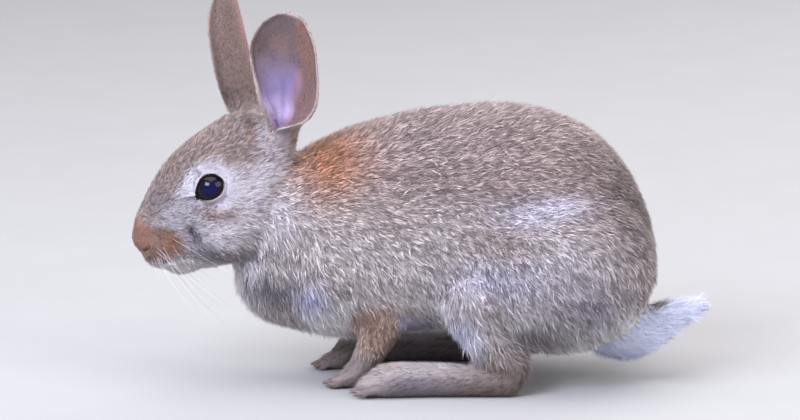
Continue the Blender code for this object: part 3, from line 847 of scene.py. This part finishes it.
def markings(points, normals, near):
    """The colour of the coat at points in linear light, its share of dark tips, and how bare the skin is.
    Both sides of the body are marked alike."""
    colour = body_colours(points, normals, near)
    head = in_head(points)
    face, bare = face_colours(points, head), np.zeros(len(points))
    for word in SIDES:
        face, bare = eye_ring(face, bare, points, word)
    for rows, width, depth in GROOVES:
        gap = np.exp(-((off_line(head, rows) / (width * 0.85)) ** 2)) * min(1, depth)
        # painted shade: the grooves of the nostrils, nose, philtrum and mouth are painted nearly black
        face = mix(face, HAIR["lid_rim_and_crease_shade"], 0.8 * gap)
        bare = np.maximum(bare, gap)
    neck_front = (near == COATED.index("neck")) & (head[:, 1] > -24) & (head[:, 2] > -45)
    ear_roots = (near >= len(FLESH)) & (head[:, 2] < 40)
    is_head = (near == COATED.index("head")) | neck_front | ear_roots
    colour = mix(colour, face, is_head)
    # painted shade in the grooves between the toes
    colour = mix(colour, HAIR["ear_edge"], 0.35 * (between_toes(points) * np.isin(near, FEET)))
    for word in SIDES:
        share, place, inside, from_edge = in_ear(points, word)
        cup = step(0, 0.5, inside) * step(-0.12, -0.05, share)
        here = is_head & (cup > 0) & (share < 0.34) & (from_edge > 0)
        here = (near == COATED.index(f"ear_{word}")) | here
        colour[here] = ear_markings(points[here], word, colour[here])
        past_fur_line = np.interp(share, *EAR_FUR_LINE) - place * EAR_FRONT[word]
        haired = np.maximum(step(0.55, 0.68, share), step(0.0, 0.15, past_fur_line))
        bare[here] = (cup * step(0.8, 2.2, from_edge) * mix(1.0, 0.25, haired))[here]
    return np.clip(colour, 0, 1), bare


# ---------------------------------------------------------------- the coat
def scattered(weights, count):
    """Triangles drawn in even steps through their weights, and a place inside each."""
    total = np.cumsum(weights)
    picks = (np.arange(count) + random.random(count)) / count * total[-1]
    chosen = np.minimum(np.searchsorted(total, picks), len(weights) - 1)
    a, b = np.sqrt(random.random(count)), random.random(count)
    return chosen, np.stack([1 - a, a * (1 - b), a * b], 1)


def unwrapped(skin, faces):
    """The places of these faces of the skin on an unwrap of their own part of the skin's shape."""
    bm = bmesh.new()
    bm.from_mesh(skin)
    bm.faces.ensure_lookup_table()
    kept = np.zeros(len(bm.faces), bool)
    kept[faces] = True
    number = bm.faces.layers.int.new("number")
    for f in bm.faces:
        f[number] = f.index
    bmesh.ops.delete(bm, geom=[f for f in bm.faces if not kept[f.index]], context="FACES")
    part = bpy.data.meshes.new("part")
    bm.to_mesh(part)
    bm.free()
    part.uv_layers.new(name="unwrap")
    obj = in_scene("part", part)
    bpy.context.view_layer.objects.active = obj
    obj.select_set(True)
    bpy.ops.object.mode_set(mode="EDIT")
    bpy.ops.mesh.select_all(action="SELECT")
    bpy.ops.uv.smart_project(angle_limit=math.radians(66), island_margin=0.004)
    bpy.ops.object.mode_set(mode="OBJECT")
    uv = read(part.uv_layers["unwrap"].data, "uv", 2)
    starts, totals = (read(part.polygons, name, kind=int) for name in ("loop_start", "loop_total"))
    middles = np.add.reduceat(uv, starts, axis=0) / totals[:, None]
    low, high = uv.min(0), uv.max(0)
    table = np.zeros((len(skin.polygons), 2))
    numbers = read(part.attributes["number"].data, "value", kind=int)
    table[numbers] = (middles - low) / (high - low) * (1 - 2 * UNWRAP_MARGIN) + UNWRAP_MARGIN
    bpy.data.objects.remove(obj)
    bpy.data.meshes.remove(part)
    return table[faces]


# one tuft: rings of three points at its root and halfway, then its tip
TUFT_FACES = np.array(
    [(0, 1, 4), (0, 4, 3), (1, 2, 5), (1, 5, 4), (2, 0, 3), (2, 3, 5), (3, 4, 6), (4, 5, 6), (5, 3, 6), (0, 2, 1)]
)
SPIKE_FACES = np.array([(0, 1, 3), (1, 2, 3), (2, 0, 3), (0, 2, 1)])
OFF_FLOOR = 0.15  # no tuft comes nearer to the floor
UNWRAP_MARGIN = 0.006
PATCH = 0.0015  # half the width of a tuft's patch on the unwrap
PATCH_PLACES = PATCH * np.array([(-1, -0.8), (1, -0.8), (0, 1), (-0.4, -0.3), (0.45, -0.35), (0, 0.5), (0.05, 0)])


def tufts_of(locks, tufts, bent):
    """Tufts for locks: their corners, colours, shading normals and unwrap places, and the faces of one tuft.
    Each lock gives its root, normal, lie, sizes, colour and unwrap place."""
    count = len(locks["root"]) * tufts
    each = {key: np.repeat(value, tufts, axis=0) for key, value in locks.items()}
    normal, lie = each["normal"], each["lie"]
    lie = turned(lie, normal, random.normal(0, TUFT_TURN, count))
    across = np.cross(normal, lie)
    angle = random.uniform(0, 2 * math.pi, count)
    away = np.sqrt(random.random(count)) * each["lock_width"] / 2
    beside, ahead = (np.cos(angle) * away)[:, None], (np.sin(angle) * away)[:, None] * 1.5
    length = each["length"] * random.uniform(0.7, 1.15, count)
    rise = each["depth"] * np.clip(random.normal(*TUFT_RISE, count), 0.3, 1.3)
    width = each["width"] * random.uniform(0.7, 1.2, count)
    if bent:
        length, width, rise = length * 1.1, width * 1.9, rise * 0.9
    reach = np.sqrt(np.maximum(length**2 - rise**2, (0.5 * length) ** 2))
    fall = length**2 / FALL
    root = each["root"] + across * beside + lie * ahead

    def along(share, height):
        place = root + lie * (reach * share)[:, None] - across * beside * (LOCK_CLOSING * share)
        return place + normal * height[:, None]

    low = along(0.0, np.full(count, -ROOT_DEPTH))
    tip = along(1.0, np.maximum(rise - fall, 0.1 * length))
    ridge = unit(np.cross(unit(tip - low), across))
    shape, shading, bands = [], [], []
    dark = (random.random(count) < each["dark"])[:, None]
    colour = each["colour"] * random.uniform(0.92, 1.08, count)[:, None]
    base = colour * mix(PALE_BASE, TICKED_BASE, each["ticks"] / 0.42)[:, None]
    rings = [(low, 1.0, base)]
    if bent:
        rings.append((along(0.5, 0.62 * rise - 0.2 * fall), 0.82, colour * np.where(dark, DARK_BAND, PALE_BAND)))
    lit = unit(normal + each["lift"][:, None] * [0, 0, 1])
    for middle, taper, band in rings:
        half = (width / 2 * taper)[:, None]
        shape += [middle - across * half, middle + across * half, middle + ridge * half * 0.8]
        shading += [unit(lit - 0.45 * across), unit(lit + 0.45 * across), lit]
        bands += [band] * 3
    shape.append(tip)
    shading.append(unit(lit + 0.25 * lie))
    bands.append(np.where(dark, colour * DARK_TIP, colour * PALE_TIP))
    corners = np.stack(shape, 1)
    corners[..., 2] = np.maximum(corners[..., 2], OFF_FLOOR)
    places = each["place"][:, None] + (PATCH_PLACES if bent else PATCH_PLACES[[0, 1, 2, 6]])
    return corners, np.stack(bands, 1), unit(np.stack(shading, 1)), places, TUFT_FACES if bent else SPIKE_FACES


def coat_mesh(name, kinds):
    """One mesh over several kinds of tufts."""
    start, faces = 0, []
    for corners, _, _, _, pattern in kinds:
        each = pattern[None] + (np.arange(len(corners)) * corners.shape[1])[:, None, None]
        faces.append((each + start).reshape(-1, 3))
        start += corners.shape[0] * corners.shape[1]
    flat = [np.concatenate([kind[k].reshape(-1, kind[k].shape[-1]) for kind in kinds]) for k in range(4)]
    points, colours, shading, places = flat
    corners = np.concatenate(faces).ravel()
    mesh = bpy.data.meshes.new(name)
    mesh.vertices.add(len(points))
    mesh.vertices.foreach_set("co", (points * MM).ravel())
    mesh.loops.add(len(corners))
    mesh.loops.foreach_set("vertex_index", corners)
    mesh.polygons.add(len(corners) // 3)
    mesh.polygons.foreach_set("loop_start", np.arange(0, len(corners), 3))
    mesh.update(calc_edges=True)
    mesh.polygons.foreach_set("use_smooth", np.ones(len(corners) // 3, bool))
    paint(mesh, "pelt", colours)
    mesh.uv_layers.new(name="OFBake").uv.foreach_set("vector", places[corners].ravel())
    mesh.normals_split_custom_set_from_vertices(shading)
    return mesh


def paint(mesh, name, colours):
    attribute = mesh.color_attributes.new(name, "FLOAT_COLOR", "POINT")
    attribute.data.foreach_set("color", np.hstack([colours, np.ones((len(colours), 1))]).ravel())


# ---------------------------------------------------------------- materials
def add(tree, kind, inputs=None, **settings):
    """Adds a node with its settings. An input is given a value, a socket, or a node for its first output."""
    node = tree.nodes.new("ShaderNode" + kind)
    for name, value in settings.items():
        setattr(node, name, value)
    for name, value in (inputs or {}).items():
        if isinstance(value, bpy.types.Node):
            value = value.outputs[0]
        if isinstance(value, bpy.types.NodeSocket):
            tree.links.new(value, node.inputs[name])
        else:
            node.inputs[name].default_value = value
    return node


def started(name):
    """An empty material, its tree and its place in millimetres."""
    material = bpy.data.materials.new(name)
    material.use_nodes = True
    tree = material.node_tree
    tree.nodes.clear()
    place = add(tree, "TexCoord").outputs["Object"]
    return material, tree, add(tree, "VectorMath", {0: place, "Scale": 1 / MM}, operation="SCALE")


def finished(material, tree, inputs):
    """Gives the material one principled shader with these inputs."""
    add(tree, "OutputMaterial", {"Surface": add(tree, "BsdfPrincipled", inputs)})
    return material


def pelt_colour(tree, *shades):
    """The colour painted on the mesh, shaded by two patterns."""
    pelt = add(tree, "VertexColor", layer_name="pelt")
    shade = add(tree, "Math", dict(enumerate(shades)), operation="MULTIPLY")
    return add(tree, "VectorMath", {0: pelt, "Scale": shade}, operation="SCALE")


MOST_NOISE = {"From Min": 0.3, "From Max": 0.7}  # noise seldom leaves this range


def coat_material(name, grain, grain_depth, roughness, sheen, specular):
    """Living hair is banded keratin with a scaly surface, so it is dull, with a soft sheen along the edge of the
    form. Its colour is painted on the tufts. Grain in millimetres stands for the bands of single hairs, drawn
    coarse enough to show, and patches of 9 mm for the way that a coat parts."""
    material, tree, place = started(name)
    shades = []
    for size, depth in ((grain, grain_depth), (9, 0.07)):
        noise = add(tree, "TexNoise", {"Vector": place, "Scale": 1 / size, "Detail": 2.0, "Roughness": 0.6})
        shade = {"Value": noise, **MOST_NOISE, "To Min": 1 - depth, "To Max": 1 + depth}
        shades.append(add(tree, "MapRange", shade))
    inputs = {
        "Base Color": pelt_colour(tree, *shades),
        "Roughness": roughness,
        "Specular IOR Level": specular,
        "Sheen Weight": sheen,
        "Sheen Roughness": 0.45,
        "Sheen Tint": (*linear("#fff4ec"), 1),
        "IOR": 1.55,
    }
    return finished(material, tree, inputs)


def skin_material():
    """Rabbit skin under short dense undercoat, which scatters light and is matt. On the lids, in the nostrils
    and low in the cups of the ears it is nearly bare, thin and a little shiny. Its down is drawn 0.55 mm thick
    and its patches are 5 mm wide."""
    material, tree, place = started("rabbit_skin_with_undercoat")
    bare = add(tree, "Attribute", attribute_name="bare").outputs["Fac"]
    down = add(tree, "TexNoise", {"Vector": place, "Scale": 1 / 0.55, "Detail": 3.0, "Roughness": 0.6})
    broad = add(tree, "TexNoise", {"Vector": place, "Scale": 1 / 5, "Detail": 2.0, "Roughness": 0.6})
    fine = add(tree, "MapRange", {"Value": down, **MOST_NOISE, "To Min": 0.86, "To Max": 1.13})
    broad = add(tree, "MapRange", {"Value": broad, **MOST_NOISE, "To Min": 0.93, "To Max": 1.07})
    strength = add(tree, "MapRange", {"Value": bare, "To Min": 0.7, "To Max": 0.15})
    inputs = {
        "Base Color": pelt_colour(tree, fine, broad),
        "Roughness": add(tree, "MapRange", {"Value": bare, "To Min": 0.72, "To Max": 0.5}),
        "Specular IOR Level": 0.2,
        "Subsurface Weight": 0.12,
        "Subsurface Scale": 1.2 * MM,
        "Subsurface Radius": (1.0, 0.4, 0.3),
        "Sheen Weight": 0.08,
        "Sheen Roughness": 0.5,
        "IOR": 1.45,
        "Normal": add(tree, "Bump", {"Height": down, "Strength": strength, "Distance": 0.4 * MM}),
    }
    return finished(material, tree, inputs)


def eye_material():
    """A wet cornea over a wide pupil and a dark brown iris. The pupil is painted dark blue, a painted
    reflection of the sky. It is smooth as glass with a tear film on it, so it is almost black and mirrors the
    lamps. The fibres of the iris are 0.35 mm wide, and the film varies over 2 mm."""
    material, tree, place = started("wet_eye")
    iris = add(tree, "VertexColor", layer_name="pelt")
    fibres = add(tree, "TexNoise", {"Vector": place, "Scale": 1 / 0.35, "Detail": 4.0, "Roughness": 0.6})
    fibres = add(tree, "MapRange", {"Value": fibres, **MOST_NOISE, "To Min": 0.7, "To Max": 1.3})
    film = add(tree, "TexNoise", {"Vector": place, "Scale": 1 / 2, "Detail": 2.0, "Roughness": 0.6})
    inputs = {
        "Base Color": add(tree, "VectorMath", {0: iris, "Scale": fibres}, operation="SCALE"),
        "Roughness": add(tree, "MapRange", {"Value": film, "To Min": 0.02, "To Max": 0.06}),
        "Specular IOR Level": 0.37,
        "IOR": 1.38,
    }
    return finished(material, tree, inputs)


def claw_material():
    """Keratin horn, grown in layers and worn smooth, so it is dark and satin. Its layers are drawn 0.5 mm wide
    and its scratches 0.3 mm, coarse enough to show."""
    material, tree, place = started("claw_horn")
    layers = add(tree, "TexNoise", {"Vector": place, "Scale": 1 / 0.5, "Detail": 3.0, "Roughness": 0.6})
    scratches = add(tree, "TexNoise", {"Vector": place, "Scale": 1 / 0.3, "Detail": 2.0, "Roughness": 0.6})
    ramp = add(tree, "ValToRGB", {"Fac": layers})
    for end, code in zip(ramp.color_ramp.elements, ("#3a2c27", "#7d675a")):
        end.color = (*linear(code), 1)
    inputs = {
        "Base Color": ramp,
        "Roughness": add(tree, "MapRange", {"Value": scratches, "To Min": 0.3, "To Max": 0.48}),
        "IOR": 1.54,
        "Normal": add(tree, "Bump", {"Height": scratches, "Strength": 0.3, "Distance": 0.1 * MM}),
    }
    return finished(material, tree, inputs)


def floor_material():
    """Board rolled with matt emulsion, pale and dull, with patches of 60 mm that hardly show."""
    material, tree, place = started("matt_painted_board")
    roller = add(tree, "TexNoise", {"Vector": place, "Scale": 1 / 60, "Detail": 4.0, "Roughness": 0.6})
    ramp = add(tree, "ValToRGB", {"Fac": roller})
    for end, code in zip(ramp.color_ramp.elements, ("#9a9998", "#a09f9e")):
        end.color = (*linear(code), 1)
    return finished(material, tree, {"Base Color": ramp, "Roughness": 0.85})


# ---------------------------------------------------------------- the pieces
def make_skin():
    """The skin, and what the coat grows by: points, normals, sizes and lie, nearest solids and bare places."""
    mesh = fused_flesh()
    for reach in (17, 12):
        refined(mesh, detail_zone(read(mesh.vertices, "co", 3) / MM, reach))
    points = read(mesh.vertices, "co", 3) / MM
    edges = read(mesh.edges, "vertices", 2, int)
    zone = detail_zone(points, 19)[:, None]
    points = np.where(zone, spread(points, edges, 4), points)
    normals = move(mesh, points)
    near = nearest_nodes(points)
    fields, lie = coat_fields(points, normals, edges, near)
    points = points - spread(normals, edges, 6) * (fields[:, DEPTH] * COAT_INSET)[:, None]
    points = hollowed_ears(shape_lids(points))
    normals = move(mesh, points)
    head = in_head(points)
    for rows, width, depth in GROOVES:
        points = points - normals * (depth * np.exp(-((off_line(head, rows) / width) ** 2)))[:, None]
    points = points - normals * (TOE_GROOVE * between_toes(points) * np.isin(near, FEET))[:, None]
    points[:, 2] = np.maximum(points[:, 2], SKIN_OFF_FLOOR)
    normals = move(mesh, points)
    mesh.shade_smooth()
    marks, bare = markings(points, normals, near)
    paint(mesh, "pelt", marks[:, :3] * mix(SKIN_SHADE, 1.0, bare)[:, None])
    mesh.attributes.new("bare", "FLOAT", "POINT").data.foreach_set("value", bare)
    return mesh, points, normals, fields, along_skin(lie, normals), near, bare


def coat_groups(kind, middles, weights):
    """The triangles of each coat piece: ears, feet, tail, and the rest in wedges round a line along the body,
    which carry as many locks as each other."""
    groups = {"ear": kind == "ear", "feet": np.isin(kind, ["forefoot", "hindfoot"]), "tail": kind == "tail"}
    rest = ~np.any(list(groups.values()), axis=0)
    angle = np.degrees(np.arctan2(middles[:, 0], middles[:, 2] - WEDGES_MEET)) % 360
    bins = (angle[rest] / WEDGE_STEP).astype(int)
    spans = np.cumsum(np.bincount(bins, weights=weights[rest], minlength=360 // WEDGE_STEP))
    cuts = [WEDGE_STEP * np.searchsorted(spans, spans[-1] * k / BODY_PIECES) for k in range(BODY_PIECES)] + [361]
    for k in range(BODY_PIECES):
        groups[f"body_{k + 1}"] = rest & (angle >= cuts[k]) & (angle < cuts[k + 1])
    return groups


def grow_coat(skin, points, normals, fields, lie, near, bare):
    """Locks over the whole skin, shared out between pieces, each with its own unwrap."""
    skin.calc_loop_triangles()
    triangles = read(skin.loop_triangles, "vertices", 3, int)
    owners = read(skin.loop_triangles, "polygon_index", kind=int)
    a, b, c = (points[triangles[:, k]] for k in range(3))
    areas = np.linalg.norm(np.cross(b - a, c - a), axis=1) / 2
    hairy = np.clip(1 - 1.3 * bare[triangles].mean(1), 0, 1)
    weights = areas * fields[triangles, LOCKS].mean(1) * hairy
    kind = np.array([name.split("_")[0] for name in COATED])[near[triangles[:, 0]]]
    for name, group in coat_groups(kind, (a + b + c) / 3, weights).items():
        share = np.where(group, weights, 0)
        count = int(share.sum())
        chosen, inside = scattered(share, count)
        corners = triangles[chosen]
        root, normal, way, sizes = (
            (values[corners] * inside[..., None]).sum(1) for values in (points, normals, lie, fields)
        )
        normal = unit(normal)
        way = along_skin(way, normal)
        marks, _ = markings(root + way * (0.6 * sizes[:, LENGTH, None]), normal, near[corners[:, 0]])
        locks = {
            "root": root,
            "normal": normal,
            "lie": turned(way, normal, random.normal(0, LOCK_TURN, count)),
            "depth": sizes[:, DEPTH] * random.uniform(0.85, 1.12, count),
            "length": sizes[:, LENGTH],
            "width": sizes[:, WIDTH],
            "lock_width": sizes[:, LOCK_WIDTH],
            "colour": marks[:, :3],
            "ticks": marks[:, 3],
            "dark": np.where(random.random(count) < marks[:, 3], 0.95, 0.1 * marks[:, 3]),
            "lift": np.full(count, TAIL_LIFT if name == "tail" else 0.0),
            "place": unwrapped(skin, owners[chosen]),
        }
        kinds = [tufts_of(locks, HAIRS, False)]
        if name not in ("ear", "feet"):
            picked = random.random(count) < UNDERCOAT_SHARE
            kinds.append(tufts_of({key: value[picked] for key, value in locks.items()}, 1, True))
        slot = COAT_SLOTS.get(name, "agouti_fur")
        new_piece(f"coat_{name}", coat_mesh(f"coat_{name}", kinds), slot, COAT_MATERIALS[slot])


def make_eye(word, material):
    """The eyeball, with a cornea that bulges a little over the iris."""
    centre = centre_of(f"eye_{word}")
    axis, ahead, up = eye_axes(word)
    round_it = np.linspace(0, 2 * math.pi, EYE_SEGMENTS, endpoint=False)
    ways = [ahead * math.cos(t) + up * math.sin(t) for t in round_it]
    rings = []
    for off in np.radians(np.linspace(3, 177, EYE_RINGS)):
        reach = EYE_RADIUS + CORNEA_BULGE * math.exp(-((math.degrees(off) / CORNEA_SPAN) ** 2)) - CORNEA_BULGE
        rings.append([centre + reach * (axis * math.cos(off) + way * math.sin(off)) for way in ways])
    mesh = ring_mesh(f"eyeball_{word}", [rings])
    off, _, _ = round_eye(read(mesh.vertices, "co", 3) / MM, word)
    # the pupil is painted dark blue, a painted reflection of the sky; round it the iris is dark brown and the rest
    # nearly black
    iris = mix(linear("#000030"), linear("#080204"), step(20, 36, off))
    paint(mesh, "pelt", mix(iris, linear("#040203"), step(52, 60, off)))
    new_piece(f"eyeball_{word}", mesh, "eye", material, f"eye_{word}")


def make_claws(material):
    """Sixteen tapered claws, each curving down to its point."""
    tubes = []
    shares = np.linspace(0, 1, 9)
    for name in CLAWS:
        low, high = (np.array(c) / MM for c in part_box(name))
        x, back, top = (low[0] + high[0]) / 2, high[1] + CLAW_ROOT, high[2] - 0.9
        length, drop = high[1] - low[1] + CLAW_ROOT, top - low[2] - 0.3
        line = [(x, back - length * s, top - drop * s**2) for s in shares]
        tubes.append(tube(line, CLAW_RADIUS * (1 - CLAW_TAPER * shares**1.4), 12, CLAW_FLATNESS))
    new_piece("claws", ring_mesh("claws", tubes), "claw", material, *CLAWS)


def make_whiskers(skin, material):
    """Whiskers in rows on each pad, two over each eye, and short bristles along the lips."""
    tree = BVHTree.FromPolygons([v.co / MM for v in skin.vertices], [list(p.vertices) for p in skin.polygons])
    tubes, pale = [], []
    shares = np.linspace(0, 1, 9)
    bend = unit(-FORWARDS * 0.8 - np.array([0, 0, 0.5]))
    for side in SIDES.values():
        # for each whisker: its place ahead and above in the head's own axes, its length and its droop
        pad = [(v, w) for w in (-25, -28, -31, -34) for v in (27, 23, 19)]
        rows = [(v, w, random.uniform(*WHISKER_LENGTHS), 0.15 + 0.035 * (-25 - w)) for v, w in pad]
        rows += [(v, 13, BROW_LENGTH, -0.5) for v in (3, -1)]
        for v in np.linspace(31, 10, BRISTLES):
            rows.append((v, -34.5 - random.uniform(0, 2.5), random.uniform(*BRISTLE_LENGTHS), 1.6))
        for v, w, length, droop in rows:
            start = from_head([side * 14, v + random.uniform(-1, 1), w + random.uniform(-0.7, 0.7)])
            root = np.array(tree.find_nearest(Vector(start))[0])
            back = random.uniform(0.2, 1.0)
            down = np.array([0, 0, droop + random.uniform(-0.12, 0.12)])
            way = unit(LEFTWARDS * side * 0.7 - FORWARDS * back * 0.5 - down)
            line = [root + length * (way * s + bend * WHISKER_BEND * s * s) for s in shares]
            tubes.append(tube(line, WHISKER_RADIUS * (1 - WHISKER_TAPER * shares), 4))
            pale.append(w > 0 or length < 12 or random.random() < PALE_WHISKERS)
    mesh = ring_mesh("whiskers", tubes)
    shades = np.where(np.array(pale)[:, None], linear("#e4e0e0"), linear("#5a504d"))
    paint(mesh, "pelt", np.repeat(shades, len(mesh.vertices) // len(tubes), axis=0))
    new_piece("whiskers", mesh, "agouti_fur", material)


# ---------------------------------------------------------------- floor, light and camera
def make_floor():
    """A level floor that fills the camera's view. From low down its far edge shows as a horizon."""
    mesh = bpy.data.meshes.new("floor")
    size = FLOOR_REACH
    mesh.from_pydata([(-size, -size, 0), (size, -size, 0), (size, size, 0), (-size, size, 0)], [], [(0, 1, 2, 3)])
    mesh.materials.append(floor_material())
    in_scene("floor", mesh)


def aimed(obj, place, aim):
    """Puts a lamp or a camera at a place and points it at another."""
    obj.location = place
    obj.rotation_euler = (Vector(aim) - Vector(place)).to_track_quat("-Z", "Y").to_euler()


def make_lights():
    """A soft box on each side of the camera, a large one overhead, one behind, and an even pale surround."""
    for name, place, size, power, colour in (
        ("soft_box_side", (1.2, -0.87, 1.05), (0.95, 0.66), 42, "#e2eaff"),
        ("soft_box_rear_side", (0.75, 1.4, 0.9), (1.4, 1.0), 17, "#f8f5f8"),
        ("soft_box_top", (0.1, -0.1, 1.6), (1.6, 1.6), 24, "#fbfaff"),
        ("soft_box_back", (-1.2, 0.9, 1.0), (1.2, 1.0), 12, "#fffdfb"),
    ):
        lamp = bpy.data.lights.new(name, "AREA")
        lamp.shape = "RECTANGLE"
        lamp.size, lamp.size_y = size
        lamp.energy = power
        lamp.color = linear(colour)
        aimed(in_scene(name, lamp), place, LAMP_AIM)
    world = bpy.data.worlds.new("studio")
    world.use_nodes = True
    ground = world.node_tree.nodes["Background"]
    ground.inputs["Color"].default_value = (*linear("#e9e9f2"), 1)
    ground.inputs["Strength"].default_value = 1.0
    bpy.context.scene.world = world
    bpy.context.scene.view_settings.view_transform = "Standard"


def make_camera():
    """Beside the rabbit's left and looking down on it a little, from far enough that it looks flat."""
    camera = bpy.data.cameras.new("camera")
    camera.sensor_width = 36
    camera.lens = camera.sensor_width * CAMERA_DISTANCE / VIEW_WIDTH
    obj = in_scene("camera", camera)
    level, rise = math.cos(CAMERA_ELEVATION), math.sin(CAMERA_ELEVATION)
    aimed(obj, Vector(CAMERA_AIM) + CAMERA_DISTANCE * Vector((level, 0, rise)), CAMERA_AIM)
    bpy.context.scene.camera = obj


COAT_MATERIALS = {  # grain of the ticking in millimetres and its strength, roughness, sheen and specular level
    "agouti_fur": coat_material("wild_rabbit_guard_hair", 0.5, 0.14, 0.62, 0.2, 0.25),
    "ear_fur": coat_material("short_ear_hair", 0.35, 0.15, 0.6, 0.2, 0.3),
    "foot_fur": coat_material("dense_foot_hair", 0.4, 0.12, 0.65, 0.2, 0.25),
    "tail_fur": coat_material("soft_tail_hair", 0.6, 0.08, 0.68, 0.3, 0.2),
}

skin, *coat = make_skin()
new_piece("skin", skin, "agouti_fur", skin_material(), *FLESH, *EARS)
grow_coat(skin, *coat)
wet_eye = eye_material()
for side_word in SIDES:
    make_eye(side_word, wet_eye)
make_claws(claw_material())
make_whiskers(skin, COAT_MATERIALS["agouti_fur"])
make_floor()
make_lights()
make_camera()
